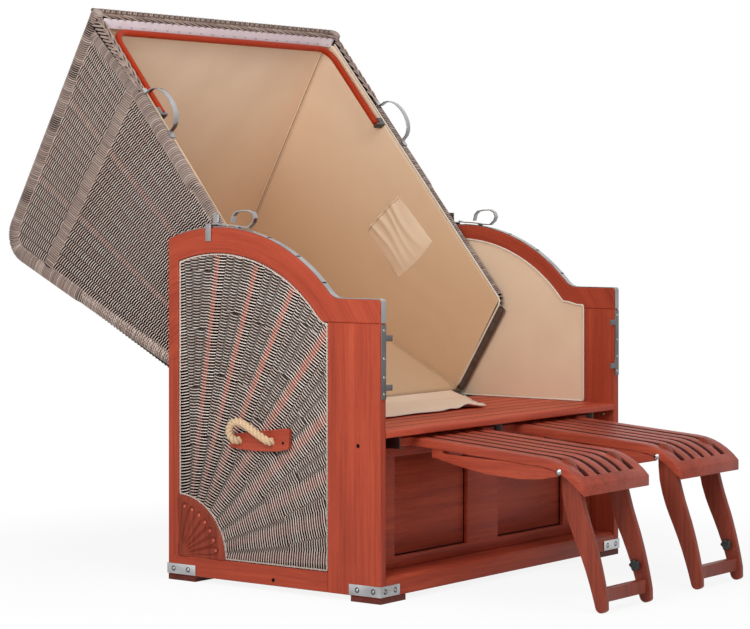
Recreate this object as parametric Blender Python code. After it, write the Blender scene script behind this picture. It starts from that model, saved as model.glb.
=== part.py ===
# Hooded beach chair: a two-seat wooden base with arched wicker cheeks, a tilting wicker hood with a
# cloth lining, two slatted footrests with folding legs.
# Metres, +Z up. +X is across the seat, -Y is the front. Left means -X, as seen from the front.
# All outlines below are drawn in the chair's side plane (y, z) with y = 0 at the front of the cheeks.
import math
import bpy
import bmesh
from mathutils import Vector
from mathutils.geometry import tessellate_polygon

for old in list(bpy.data.objects):
    bpy.data.objects.remove(old, do_unlink=True)

FRONT_Y = -0.4375       # puts the middle of the whole chair on the origin
FIT = 0.0004            # gap between pieces that are glued or screwed together

# cheeks
HALF_WIDTH = 0.600
CHEEK_T = 0.026
CHEEK_DEPTH = 0.752
FOOT_H = 0.016
PIVOT_Y = 0.567         # hood pivot, also the centre of the cheek's arch
PIVOT_Z = 0.465
ARCH_R = 0.531
ARCH_DEPTH = 0.071
RAIL_FRONT = 0.0635     # height of the frame over the front post
FRONT_FILLET = 0.050
FRONT_CORNER = 0.006
CHEEK_EDGE = 0.0025
POST_EDGE = 0.002
OPEN_FILLET = 0.030
POST_W = 0.178
POST_TOP = 0.743
STILE_W = 0.037
RAIL_TOP = 0.070
FAN_R = 0.172
FAN_LOBES = 7
FAN_NOTCH = 0.003       # depth of the notches between the lobes
FAN_BACK = 0.004        # back face of the fan, out from the cheek's inner face
FAN_PROUD = 0.001
WEAVE_T = 0.024         # over the flat stakes
WEAVE_LOW = 0.0055      # strands' mean face, under the stakes' faces
SUN_FRONT = 0.025       # where the stakes would meet, in front of the fan's corner
STAKE_DEG = (8.0, 17.5, 27.0, 38.0, 50.5, 63.0, 74.5)
STAKE_W = 0.018
STAKE_END = 0.005       # stakes end this far inside the opening
STAKE_ROOT = 0.004      # how deep a raised strip runs into its panel
LINING_T = 0.0040
LINING_FRONT = 0.108
LINING_BACK = 0.017     # in from the back of the cheek
LINING_DROP = 0.045     # below the top of the arch
LINING_NOSE = ((0.165, 0.762), (0.140, 0.755))
LINING_TOP = 0.753
STRIP_T = 0.0020
STRIP_W = 0.020
STRIP_LAP = 0.0015      # how far above the post the strip ends
STRIP_BACK = 0.007      # in from the back of the cheek
PLATE_LOW = 0.5425
PLATE_TABS = (0.5724, 0.7040)
PLATE_T = 0.0024
PLATE_GAP = 0.004
TAB_L = 0.028
TAB_H = 0.016
ROPE_R = 0.009
ROPE_PLATE = ((0.303, 0.394), (0.340, 0.386), (0.400, 0.3825), (0.460, 0.3835),
              (0.511, 0.387), (0.515, 0.424), (0.418, 0.437), (0.301, 0.452))
ROPE_PLATE_CORNERS = (0.010, 0.030, 0.080, 0.080, 0.010, 0.010, 0.100, 0.010)
ROPE_PLATE_T = 0.014
ROPE_PLATE_EDGE = 0.002
# the rope's middle line: out from the plate, y, z
ROPE_ROUTE = ((0.000, 0.478, 0.409), (0.005, 0.478, 0.409), (0.012, 0.4785, 0.4093), (0.019, 0.482, 0.413),
              (0.025, 0.4885, 0.424), (0.029, 0.4885, 0.441), (0.030, 0.479, 0.456), (0.031, 0.458, 0.4645),
              (0.032, 0.430, 0.457), (0.029, 0.398, 0.438), (0.020, 0.371, 0.4200), (0.012, 0.3625, 0.4130),
              (0.005, 0.361, 0.412), (0.000, 0.361, 0.412))
FOOT_W = 0.115
FOOT_L = 0.100
FOOT_EDGE = 0.002
BRACKET_T = 0.0016
BRACKET_L = 0.104       # along the cheek
BRACKET_IN = 0.085      # round the corner
BRACKET_LOW = 0.018
BRACKET_TOP = 0.047

# seat and box
SEAT_TOP = 0.458
SEAT_T = 0.020
SEAT_DEPTH = 0.510
SEAT_NOSE = 0.008
SEAT_UNDER = 0.004
FLAP = ((-0.500, 0.240), (-0.400, 0.232), (-0.276, 0.222), (-0.135, 0.230), (-0.030, 0.223),
        (0.090, 0.235), (0.163, 0.227), (0.186, 0.200), (0.250, 0.270), (0.360, 0.380),
        (0.500, 0.500), (0.500, 0.530), (-0.500, 0.530))
BOX_FRONT = 0.085
BOX_GAP = 0.0052        # under the footrests
FRAME_T = 0.014
PANEL_T = 0.012
PANEL_IN = 0.0755
PANEL_STILE = 0.152     # outer upright of the box front
PANEL_LOW = 0.100
PANEL_TOP = 0.372
PLINTH_TOP = 0.068
PLINTH_LAP = 0.020      # how far the plinth runs in behind the box front
PLINTH_EDGE = 0.010
BACK_INSET = 0.038      # box back, in from the back of the cheeks
BACK_T = 0.016
BACK_EDGE = 0.002
BACK_GAP = 0.008        # between the box back and the seat's underside
ROD_R = 0.006
ROD_CLEAR = 0.0004
ROD_INTO = 0.016        # how far the rod runs into each cheek

# hood, drawn in the pose of the photo
HOOD_CLEAR = 0.007      # between the hood's sides and the cheeks
SIDE_T = 0.022
PANEL_WALL = 0.014
KNEE_Y = 0.384          # lower end of the hood's front edge
KNEE_Z = 0.762
HOOD_FRONT = 1.1157     # length of the front edge
FRONT_TILT = math.radians(51.405)
ROOF_L = 0.7996
ROOF_TILT = math.radians(-61.704)
HEEL_UP = 0.004         # lower end of the back, over the pivot
KNEE_R = 0.020
PEAK_R = 0.022
REAR_R = 0.085
LOBE_R = 0.026
LOBE_JOIN = 0.100
HEEL_CUT = 0.022        # where the back and the lining start, from the heel
RIM_W = 0.042
RIM_UP = 0.008
RIM_SOFT = 0.004
RIM_IN_R = 0.045
RIM_CLEAR = 0.109       # the rim is proud only this far outside the arch, clear of the cheeks
RIM_SLOPE = 0.030
RIM_STEP = 0.080        # longest piece of the side's outline
SIDE_LOW = 0.0045       # strands' mean face on a hood side, under the stakes' faces
SIDE_STAKES = 6         # spaces between the raised stakes, front edge to back
SIDE_STAKE_W = 0.022
SIDE_BAR = ((0.135, 0.260), (0.752, 0.205))     # wrapped bar: along the roof, down from it
SIDE_BAR_W = 0.034
SIDE_BAR_UP = 0.007
ROOF_IN = 0.006
BEAM_W = 0.045
BEAM_D = 0.038
BEAM_NOSE = ((0.012, 0.038), (0.003, 0.010))
MOUTH_IN = 0.012        # lining's front edge, in from the hood's
MOUTH_LOW = 0.010
MOUTH_TOP = 0.060
POCKET_AT = (0.786, 0.958)
POCKET_ALONG = (-0.755, 0.656)
POCKET_W = 0.180
POCKET_H = 0.198
POCKET_PUFF = 0.013
POCKET_HEM = 0.003
BOW_R = 0.008
BOW_IN = 0.020
BOW_LOW = 0.740
BOW_DROP = 0.0757       # bow under the top of the front edge
BOW_CORNER = 0.050
EAR_T = 0.0223          # bow bracket's ear, between the bow and the lining
EAR_LOW = 0.020
EAR_UP = 0.008
EAR_SEAT = 0.0125
EAR_HALF = 0.010
GRAB_LOW = 0.643
GRAB_HIGH = 0.787
GRAB_OUT = 0.062
GRAB_W = 0.018
GRAB_T = 0.003
GRAB_FOOT = 0.020
GRAB_BEND = 0.003
GRAB_RISE = 0.004
HOOK_GAP = 0.001        # lever bracket's hook to the cheek's outer face
HOOK_T = 0.003
HOOK_LIP = 0.0025
HOOK_UP = 0.0065        # bracket over the top of the arch
HOOK_DOWN = 0.0455
HOOK_PLATE = 0.0315
HOOK_Y = (0.023, 0.043)
LEVER_W = 0.016
LEVER_T = 0.003
LEVER_UP = 0.008        # lever's flat bar over the arch
LEVER_AT = (0.013, 0.0125)
LEVER_BEND = (-0.0065, -0.0033)
LEVER_RISE = 0.0035
LEVER_TOOTH = 0.0006    # tooth to the strip
# the lever's finger loop, back from the pivot and up from the top of the arch
LEVER_LOOP = ((-0.121, 0.013), (-0.127, 0.026), (-0.121, 0.040), (-0.106, 0.047),
              (-0.082, 0.0465), (-0.060, 0.043), (-0.049, 0.032), (-0.044, 0.013))

# footrests
REST_SIDE = 0.3265      # footrest's middle, in from the cheek
REST_COLS = (0.042, 0.024, 0.036, 0.018, 0.036, 0.018, 0.036, 0.018, 0.036, 0.024, 0.042)
REST_T = 0.024
REST_BACK = 0.065
REST_RAIL = 0.030
REST_MID = -0.160
REST_DROP = 0.0118      # slats' top below the seat's underside, at y = 0
REST_SLOPE = math.radians(4.27)
REST_BEND_Y = -0.385
REST_BEND_R = 0.193
REST_BEND = math.radians(44.2)
REST_CAP = 0.030        # length of the front cap along the curve
REST_NOSE = 0.028       # height of the front end
GUIDE_MID = 0.0205      # middle of an inner guide, out from the chair's middle
GUIDE_W = 0.024
GUIDE_T = 0.002
GUIDE_FRONT = 0.020
GUIDE_BACK = 0.460
TONGUE_GAP = 0.003
TONGUE_SEAT = 0.0006
# leg's middle line: y and depth under the slats, then y and height over the floor
LEG_UPPER = ((-0.426, 0.0392), (-0.439, 0.0622), (-0.4495, 0.1262))
LEG_LOWER = ((-0.468, 0.235), (-0.492, 0.175), (-0.513, 0.115), (-0.530, 0.055), (-0.5385, 0.018))
LEG_HALF = (0.013, 0.022, 0.028, 0.028, 0.0255, 0.022, 0.019, 0.017)
LEG_CROWN = ((-0.007, 0.009), (0.004, 0.010))
LEG_BAR = ((-0.544, 0.028), (-0.522, 0.028), (-0.522, 0.062), (-0.544, 0.062))
LEG_X = 0.111
LEG_T = 0.018
LEG_PIN_R = 0.009       # round boss on a leg's outer face, against the rail it turns on
# apron's outline and its cross bar: y and depth under the slats
APRON = ((-0.030, 0.0267), (-0.030, 0.0492), (-0.046, 0.0517), (-0.130, 0.0702), (-0.212, 0.0832),
         (-0.314, 0.0892), (-0.380, 0.0852), (-0.425, 0.0762), (-0.432, 0.0700), (-0.424, 0.0620),
         (-0.385, 0.0538), (-0.314, 0.0484), (-0.250, 0.0437), (-0.212, 0.0432), (-0.130, 0.0402),
         (-0.072, 0.0372), (-0.066, 0.0352), (-0.066, 0.0294))
APRON_BAR = ((-0.060, 0.0482), (-0.036, 0.0482), (-0.036, 0.0352), (-0.060, 0.0352))
APRON_IN = 0.004        # apron board, in from the footrest's side
APRON_T = 0.018
KNOB_AT = (-0.516, 0.100)
KNOB_R = 0.016
KNOB_LOBE = 0.002
KNOB_STEM = 0.006
KNOB_T = 0.021
KNOB_EDGE = 0.003

# sizes that follow from the ones above
IN_X = HALF_WIDTH - CHEEK_T
PIVOT = (PIVOT_Y, PIVOT_Z)
FRONT_TOP = POST_TOP + RAIL_FRONT
STRIP_END = POST_TOP + STRIP_LAP
ARCH_TOP = PIVOT[1] + ARCH_R
LINING_ARC = ARCH_R - LINING_DROP
BOX_BACK = CHEEK_DEPTH - BACK_INSET
PANEL_OUT = IN_X - PANEL_STILE
KNEE = (KNEE_Y, KNEE_Z)
PEAK = (KNEE_Y + HOOD_FRONT * math.cos(FRONT_TILT), KNEE_Z + HOOD_FRONT * math.sin(FRONT_TILT))
REAR = (PEAK[0] + ROOF_L * math.cos(ROOF_TILT), PEAK[1] + ROOF_L * math.sin(ROOF_TILT))
HEEL = (PIVOT_Y, PIVOT_Z + HEEL_UP)
HOOD_HALF = IN_X - HOOD_CLEAR
LINING_X = HOOD_HALF - SIDE_T - FIT - LINING_T
BOW_TOP = HOOD_FRONT - BOW_DROP
BOW_X = LINING_X - FIT - EAR_T - FIT - BOW_R
RIM_FROM = ARCH_R + RIM_CLEAR
LEVER_R = ARCH_R + LEVER_UP
LEVER_AXIS = (PIVOT[0] + LEVER_AT[0], ARCH_TOP + LEVER_AT[1])
REST_X = IN_X - REST_SIDE
REST_W = sum(REST_COLS)
REST_Z = SEAT_TOP - SEAT_T - REST_DROP
BOX_TOP = REST_Z - REST_T - BOX_GAP
GUIDE_X = REST_X - GUIDE_MID
TONGUE_LOW = REST_Z + math.tan(REST_SLOPE) * (REST_BACK - REST_RAIL) - REST_T * math.cos(REST_SLOPE)
LEG_PIVOT = (LEG_UPPER[1][0], REST_Z - LEG_UPPER[1][1])


def paint(name, color, rough, metal=0.0):
    m = bpy.data.materials.new(name)
    m.use_nodes = True
    b = m.node_tree.nodes["Principled BSDF"]
    b.inputs["Base Color"].default_value = (*color, 1.0)
    b.inputs["Roughness"].default_value = rough
    b.inputs["Metallic"].default_value = metal
    m.diffuse_color = (*color, 1.0)
    return m


WOOD = paint("oiled_wood", (0.33, 0.075, 0.035), 0.45)
WOOD_DARK = paint("dark_wood", (0.20, 0.040, 0.022), 0.5)
WICKER = paint("hood_wicker", (0.17, 0.125, 0.10), 0.7)
WEAVE = paint("cheek_wicker", (0.24, 0.18, 0.14), 0.7)
CLOTH = paint("beige_cloth", (0.58, 0.42, 0.27), 0.85)
STEEL = paint("steel", (0.62, 0.62, 0.63), 0.3, 1.0)
ROPE = paint("rope", (0.66, 0.48, 0.29), 0.85)
BOW = paint("bow_paint", (0.52, 0.10, 0.03), 0.4)
BLACK = paint("black_plastic", (0.015, 0.015, 0.016), 0.5)


def solid(name, verts, faces, material, origin=(0.0, 0.0, 0.0)):
    mesh = bpy.data.meshes.new(name)
    mesh.from_pydata([Vector(v) - Vector(origin) for v in verts], [], faces)
    bm = bmesh.new()
    bm.from_mesh(mesh)
    bmesh.ops.recalc_face_normals(bm, faces=bm.faces)
    bm.to_mesh(mesh)
    bm.free()
    mesh.materials.append(material)
    ob = bpy.data.objects.new(name, mesh)
    bpy.context.scene.collection.objects.link(ob)
    ob.location = (origin[0], origin[1] + FRONT_Y, origin[2])
    return ob


def area(pts):
    n = len(pts)
    return 0.5 * sum(pts[i][0] * pts[(i + 1) % n][1] - pts[(i + 1) % n][0] * pts[i][1] for i in range(n))


def shift(pts, d, closed=True):
    # moves an outline sideways by d, to the left of its direction of travel
    out = []
    n = len(pts)
    for i in range(n):
        p = Vector(pts[i])
        a = p - Vector(pts[i - 1]) if closed or i > 0 else None
        b = Vector(pts[(i + 1) % n]) - p if closed or i < n - 1 else None
        a = a if a is not None else b
        b = b if b is not None else a
        na = Vector((-a.y, a.x)).normalized()
        nb = Vector((-b.y, b.x)).normalized()
        m = na + nb
        m = m / max(m.length_squared / 2.0, 0.3)
        out.append((p.x + m.x * d, p.y + m.y * d))
    return out


def inset(pts, d):
    return shift(pts, d if area(pts) > 0 else -d)


def arc(c, r, a0, a1, step=6.0):
    # points round c from angle a0 to a1, degrees, measured from +y towards +z
    n = max(2, int(math.ceil(abs(a1 - a0) / step)) + 1)
    return [(c[0] + r * math.cos(math.radians(a0 + (a1 - a0) * i / (n - 1))),
             c[1] + r * math.sin(math.radians(a0 + (a1 - a0) * i / (n - 1)))) for i in range(n)]


def rounded(pts, radii, step=15.0):
    # rounds the corners of a closed outline
    out = []
    n = len(pts)
    for i in range(n):
        p, r = Vector(pts[i]), radii[i]
        a = (Vector(pts[i - 1]) - p).normalized()
        b = (Vector(pts[(i + 1) % n]) - p).normalized()
        if r <= 0.0:
            out.append(tuple(p))
            continue
        half = a.angle(b) / 2.0
        cut = r / math.tan(half)
        c = p + (a + b).normalized() * (r / math.sin(half))
        s, e = p + a * cut - c, p + b * cut - c
        turn = math.atan2(s.x * e.y - s.y * e.x, s.dot(e))
        m = max(2, int(math.ceil(abs(math.degrees(turn)) / step)) + 1)
        for k in range(m):
            t = turn * k / (m - 1)
            out.append((c.x + s.x * math.cos(t) - s.y * math.sin(t),
                        c.y + s.x * math.sin(t) + s.y * math.cos(t)))
    return out


def loft(rings):
    verts = [v for ring in rings for v in ring]
    n = len(rings[0])
    faces = []
    for k in range(len(rings) - 1):
        for i in range(n):
            j = (i + 1) % n
            faces.append((k * n + i, k * n + j, (k + 1) * n + j, (k + 1) * n + i))
    faces.append(tuple(range(n)))
    faces.append(tuple((len(rings) - 1) * n + i for i in range(n)))
    return verts, faces


def place(axis, a, p):
    # a is the height along the extrusion axis, p the point of the outline
    return {"x": (a, p[0], p[1]), "y": (p[0], a, p[1]), "z": (p[0], p[1], a)}[axis]


def prism(name, pts, a0, a1, material, axis="x", edge=0.0, origin=(0.0, 0.0, 0.0)):
    if edge:
        small = inset(pts, edge)
        levels = [(a0, small), (a0 + edge, pts), (a1 - edge, pts), (a1, small)]
    else:
        levels = [(a0, pts), (a1, pts)]
    return solid(name, *loft([[place(axis, a, p) for p in ring] for a, ring in levels]), material, origin)


def box(name, lo, hi, material, edge=0.0):
    pts = [(lo[1], lo[2]), (hi[1], lo[2]), (hi[1], hi[2]), (lo[1], hi[2])]
    return prism(name, pts, lo[0], hi[0], material, "x", edge)


def mirror(s, a0, a1):
    return (s * a0, s * a1) if s > 0 else (s * a1, s * a0)


def holed(outer, holes):
    # triangles over an outline with holes, as indices into outer + holes
    loops = [[Vector((p[0], p[1], 0.0)) for p in loop] for loop in [outer] + holes]
    return tessellate_polygon(loops)


def tube(path, r, sides=10):
    pts = [Vector(p) for p in path]
    tang = [(pts[min(i + 1, len(pts) - 1)] - pts[max(i - 1, 0)]).normalized() for i in range(len(pts))]
    side = tang[0].orthogonal().normalized()
    rings = []
    for p, t in zip(pts, tang):
        side = (side - t * side.dot(t)).normalized()
        up = t.cross(side)
        rings.append([tuple(p + side * r * math.cos(2 * math.pi * k / sides)
                            + up * r * math.sin(2 * math.pi * k / sides)) for k in range(sides)])
    return loft(rings)


def smooth(pts, per=4):
    # curve through the points
    v = [Vector(p) for p in pts]
    out = []
    for i in range(len(v) - 1):
        a, b, c, d = v[max(i - 1, 0)], v[i], v[i + 1], v[min(i + 2, len(v) - 1)]
        for k in range(per):
            t = k / per
            out.append(tuple(0.5 * (2 * b + (c - a) * t + (2 * a - 5 * b + 4 * c - d) * t * t
                                    + (3 * b - a - 3 * c + d) * t ** 3)))
    return out + [tuple(v[-1])]


def on_arch(r, deg):
    # point at radius r round the hood pivot, deg in front of straight up
    t = math.radians(deg)
    return (PIVOT[0] - r * math.sin(t), PIVOT[1] + r * math.cos(t))


def inside(p, pts):
    # whether p lies within a closed outline
    odd = False
    for a, b in zip(pts, pts[1:] + pts[:1]):
        if (a[1] > p[1]) != (b[1] > p[1]):
            odd ^= p[0] < a[0] + (b[0] - a[0]) * (p[1] - a[1]) / (b[1] - a[1])
    return odd


def strip_in(pts, start, way, width):
    # the longest strip along a line that stays within an outline
    w = Vector((-way[1], way[0])) * (width / 2.0)
    fits = [d for d in (0.002 * i for i in range(800))
            if all(inside(Vector(start) + Vector(way) * d + w * k, pts) for k in (-1.0, 1.0))]
    a, b = (Vector(start) + Vector(way) * d for d in (fits[0], fits[-1]))
    return [tuple(a - w), tuple(b - w), tuple(b + w), tuple(a + w)]


def raise_strips(ob, name, outlines, a0, a1, origin=(0.0, 0.0, 0.0)):
    # joins raised strips onto a panel
    verts, faces = [], []
    for pts in outlines:
        v, f = loft([[(a, p[0], p[1]) for p in pts] for a in (a0, a1)])
        faces += [tuple(i + len(verts) for i in face) for face in f]
        verts += v
    strips = solid(name, verts, faces, ob.data.materials[0], origin)
    strips.hide_render = True
    strips.display_type = "WIRE"
    m = ob.modifiers.new(name, "BOOLEAN")
    m.operation = "UNION"
    m.solver = "EXACT"
    m.object = strips


def arch_path(r, flat, fillet, y_back, y_front):
    # the arch from the back to the flat front part, with the hollow corner between them
    deg_back = -math.degrees(math.asin((y_back - PIVOT[0]) / r))
    rise = flat + fillet - PIVOT[1]
    run = math.sqrt((r + fillet) ** 2 - rise ** 2)
    deg_front = math.degrees(math.atan2(run, rise))
    n = int((deg_front - deg_back) / 4.0) + 1
    pts = [on_arch(r, deg_back + (deg_front - deg_back) * i / n) for i in range(n + 1)]
    c = (PIVOT[0] - run, flat + fillet)
    pts += arc(c, fillet, deg_front - 90.0, -90.0, 9.0)[1:]
    return pts + [(y_front, flat)]


TOP_PATH = arch_path(ARCH_R, FRONT_TOP, FRONT_FILLET, CHEEK_DEPTH, 0.0)[:-1]
CORNER = arc((FRONT_CORNER, FRONT_TOP - FRONT_CORNER), FRONT_CORNER, 90.0, 180.0, 22.5)
OPEN_PATH = arch_path(ARCH_R - ARCH_DEPTH, POST_TOP, OPEN_FILLET, CHEEK_DEPTH - STILE_W, POST_W)
FAN_C = (CHEEK_DEPTH - STILE_W, RAIL_TOP)


def cheek(side, s):
    x0, x1 = mirror(s, IN_X, HALF_WIDTH)
    frame = [(0.0, POST_TOP)] + OPEN_PATH[::-1]
    frame += [FAN_C, (POST_W, RAIL_TOP), (POST_W, FOOT_H), (CHEEK_DEPTH, FOOT_H)] + TOP_PATH + CORNER
    prism("cheek_frame_" + side, frame, x0, x1, WOOD, edge=CHEEK_EDGE)
    post = [(0.0, FOOT_H), (POST_W - FIT, FOOT_H), (POST_W - FIT, POST_TOP - FIT), (0.0, POST_TOP - FIT)]
    prism("front_post_" + side, post, x0, x1, WOOD, edge=POST_EDGE)

    weave = [(POST_W + FIT, RAIL_TOP + FIT)]
    weave += arc(FAN_C, FAN_R + FIT, 180.0, 90.0, 7.5)
    weave[1] = (weave[1][0], RAIL_TOP + FIT)
    weave[-1] = (FAN_C[0] - FIT, weave[-1][1])
    weave += shift(OPEN_PATH, FIT, closed=False)[1:-1]
    weave.insert(-len(OPEN_PATH) + 2, (FAN_C[0] - FIT, OPEN_PATH[0][1] - FIT))
    weave.append((POST_W + FIT, POST_TOP - FIT))
    top = IN_X + FIT + WEAVE_T
    face = top - WEAVE_LOW
    w = prism("cheek_weave_" + side, weave, *mirror(s, IN_X + FIT, face), WEAVE)
    sun = (FAN_C[0] - SUN_FRONT, FAN_C[1])
    room = inset(weave, STAKE_END)
    ways = [(-math.sin(math.radians(d)), math.cos(math.radians(d))) for d in STAKE_DEG]
    raise_strips(w, "stakes_" + side, [strip_in(room, sun, way, STAKE_W) for way in ways],
                 *mirror(s, face - STAKE_ROOT, top))

    fan = [(FAN_C[0] - FIT, FAN_C[1] + FIT)]
    for i in range(FAN_LOBES * 4 + 1):
        deg = 90.0 + 90.0 * i / (FAN_LOBES * 4)
        r = FAN_R - FAN_NOTCH * (1.0 - abs(math.sin(math.pi * i / 4.0)))
        fan.append((FAN_C[0] + r * math.cos(math.radians(deg)), FAN_C[1] + r * math.sin(math.radians(deg))))
    fan[1] = (FAN_C[0] - FIT, fan[1][1])
    fan[-1] = (fan[-1][0], FAN_C[1] + FIT)
    prism("carved_fan_" + side, fan, *mirror(s, IN_X + FAN_BACK, HALF_WIDTH + FAN_PROUD), WOOD)

    low = SEAT_TOP + FIT
    back = CHEEK_DEPTH - LINING_BACK
    lining = [(LINING_FRONT, low), (back, low)]
    deg_back = -math.degrees(math.asin((back - PIVOT[0]) / LINING_ARC))
    lining += [on_arch(LINING_ARC, deg_back + (50.0 - deg_back) * i / 16) for i in range(17)]
    lining += [*LINING_NOSE, (LINING_FRONT, LINING_TOP)]
    n = prism("cheek_lining_" + side, lining, *mirror(s, IN_X - FIT - LINING_T, IN_X - FIT), CLOTH)

    edge = [p for p in TOP_PATH if p[0] < CHEEK_DEPTH - STRIP_BACK] + CORNER + [(0.0, STRIP_END)]
    strip = shift(edge, -FIT, closed=False) + shift(edge, -FIT - STRIP_T, closed=False)[::-1]
    sx = HALF_WIDTH - CHEEK_T / 2.0
    x = mirror(s, sx - STRIP_W / 2.0, sx + STRIP_W / 2.0)
    prism("arch_strip_" + side, strip, *x, STEEL)
    a, b, c = sx - STRIP_W / 2.0, sx + STRIP_W / 2.0, sx - STRIP_W / 2.0 - TAB_L
    t0, t1 = PLATE_TABS
    plate = [(b, PLATE_LOW), (b, STRIP_END - PLATE_GAP), (a, STRIP_END - PLATE_GAP)]
    h = TAB_H / 2.0
    for t in (t1, t0):
        plate += [(a, t + h), (c, t + h), (c, t - h), (a, t - h)]
    plate.append((a, PLATE_LOW))
    plate = [(s * p[0], p[1]) for p in plate]
    prism("hook_plate_" + side, plate, -FIT - PLATE_T, -FIT, STEEL, axis="y")

    grip = rounded(ROPE_PLATE, ROPE_PLATE_CORNERS)
    prism("rope_plate_" + side, grip, *mirror(s, top + FIT, top + FIT + ROPE_PLATE_T), WOOD,
          edge=ROPE_PLATE_EDGE)
    face = top + FIT + ROPE_PLATE_T + 2 * FIT
    path = smooth([(s * (face + p[0]), p[1], p[2]) for p in ROPE_ROUTE], 3)
    solid("rope_handle_" + side, *tube(path, ROPE_R, 12), ROPE)

    a, b = HALF_WIDTH - FOOT_W, HALF_WIDTH
    for end, y0, y1 in (("front", 0.0, FOOT_L), ("back", CHEEK_DEPTH - FOOT_L, CHEEK_DEPTH)):
        p, q = mirror(s, a, b)
        box("foot_%s_%s" % (end, side), (p, y0, 0.0), (q, y1, FOOT_H - FIT), WOOD_DARK, FOOT_EDGE)
        out = y0 - FIT if end == "front" else y1 + FIT
        way = -1.0 if end == "front" else 1.0
        reach = out - way * BRACKET_L
        ell = [(b + FIT, reach), (b + FIT + BRACKET_T, reach), (b + FIT + BRACKET_T, out + way * BRACKET_T),
               (b - BRACKET_IN, out + way * BRACKET_T), (b - BRACKET_IN, out), (b + FIT, out)]
        ell = [(s * v[0], v[1]) for v in ell]
        prism("corner_bracket_%s_%s" % (end, side), ell, BRACKET_LOW, BRACKET_TOP, STEEL, axis="z")
    return w, n


def drill(name, s, targets):
    # round hole for the pivot rod, cut along X
    sides = 24
    r = ROD_R + ROD_CLEAR
    a0, a1 = mirror(s, HOOD_HALF - SIDE_T - ROD_R, IN_X + ROD_INTO + 4 * ROD_CLEAR)
    ring = [(PIVOT[0] + r * math.cos(2 * math.pi * k / sides), PIVOT[1] + r * math.sin(2 * math.pi * k / sides))
            for k in range(sides)]
    cutter = prism(name, ring, a0, a1, STEEL)
    cutter.hide_render = True
    cutter.display_type = "WIRE"
    for t in targets:
        m = t.modifiers.new("rod_hole", "BOOLEAN")
        m.operation = "DIFFERENCE"
        m.solver = "EXACT"
        m.object = cutter


drilled = {}
for side, s in (("left", -1.0), ("right", 1.0)):
    drilled[side] = list(cheek(side, s))

# seat and box
span = IN_X - FIT
under = SEAT_TOP - SEAT_T
seat = rounded([(0.0, under), (SEAT_DEPTH, under), (SEAT_DEPTH, SEAT_TOP), (0.0, SEAT_TOP)],
               [SEAT_UNDER, 0.0, 0.0, SEAT_NOSE])
prism("seat_board", seat, -span, span, WOOD)

outer = [(-span, PLINTH_TOP + FIT), (span, PLINTH_TOP + FIT), (span, BOX_TOP), (-span, BOX_TOP)]
holes = []
for lo, hi in ((-PANEL_OUT, -PANEL_IN), (PANEL_IN, PANEL_OUT)):
    holes.append([(lo, PANEL_LOW), (lo, PANEL_TOP), (hi, PANEL_TOP), (hi, PANEL_LOW)])
flat = outer + holes[0] + holes[1]
verts = [(p[0], BOX_FRONT, p[1]) for p in flat] + [(p[0], BOX_FRONT + FRAME_T, p[1]) for p in flat]
tris = holed(outer, holes)
faces = [tuple(t) for t in tris] + [tuple(i + len(flat) for i in t) for t in tris]
for start in (0, 4, 8):
    for i in range(4):
        a, b = start + i, start + (i + 1) % 4
        faces.append((a, b, b + len(flat), a + len(flat)))
solid("box_front_frame", verts, faces, WOOD)
board = BOX_FRONT + FRAME_T + FIT
box("box_front_panel", (-span, board, PLINTH_TOP + FIT), (span, board + PANEL_T, BOX_TOP), WOOD_DARK)
plinth = [(0.0, FOOT_H), (BOX_FRONT + PLINTH_LAP, FOOT_H), (BOX_FRONT + PLINTH_LAP, PLINTH_TOP),
          (PLINTH_EDGE, PLINTH_TOP), (0.0, PLINTH_TOP - PLINTH_EDGE)]
prism("plinth_rail", plinth, -span, span, WOOD)
box("box_back_board", (-span, BOX_BACK, FOOT_H), (span, BOX_BACK + BACK_T, SEAT_TOP - SEAT_T - BACK_GAP),
    WOOD, BACK_EDGE)

# steel guides under the seat, open towards the footrests
g1 = SEAT_TOP - SEAT_T - FIT
g0 = TONGUE_LOW - TONGUE_SEAT - GUIDE_T
y0, y1 = GUIDE_FRONT, GUIDE_BACK
for side, s in (("left", -1.0), ("right", 1.0)):
    a, b = REST_X + GUIDE_X - GUIDE_W / 2.0, REST_X + GUIDE_X + GUIDE_W / 2.0
    c_rail = [(a, g1), (b, g1), (b, g0), (a, g0), (a, g0 + GUIDE_T), (b - GUIDE_T, g0 + GUIDE_T),
              (b - GUIDE_T, g1 - GUIDE_T), (a, g1 - GUIDE_T)]
    prism("guide_rail_" + side, [(s * p[0], p[1]) for p in c_rail], y0, y1, STEEL, axis="y")
a, w = REST_X - GUIDE_X + GUIDE_W / 2.0, GUIDE_T / 2.0
i_rail = [(-a, g1), (a, g1), (a, g1 - GUIDE_T), (w, g1 - GUIDE_T), (w, g0 + GUIDE_T), (a, g0 + GUIDE_T),
          (a, g0), (-a, g0), (-a, g0 + GUIDE_T), (-w, g0 + GUIDE_T), (-w, g1 - GUIDE_T), (-a, g1 - GUIDE_T)]
prism("guide_rail_middle", i_rail, y0, y1, STEEL, axis="y")

rod = [(PIVOT[0] + ROD_R * math.cos(math.pi * k / 10), PIVOT[1] + ROD_R * math.sin(math.pi * k / 10))
       for k in range(20)]
prism("pivot_rod", rod, -IN_X - ROD_INTO, IN_X + ROD_INTO, STEEL)

# flap of lining cloth lying over the back of the seat
prism("seat_flap", FLAP, SEAT_TOP + FIT, SEAT_TOP + FIT + LINING_T, CLOTH, axis="z")

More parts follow.
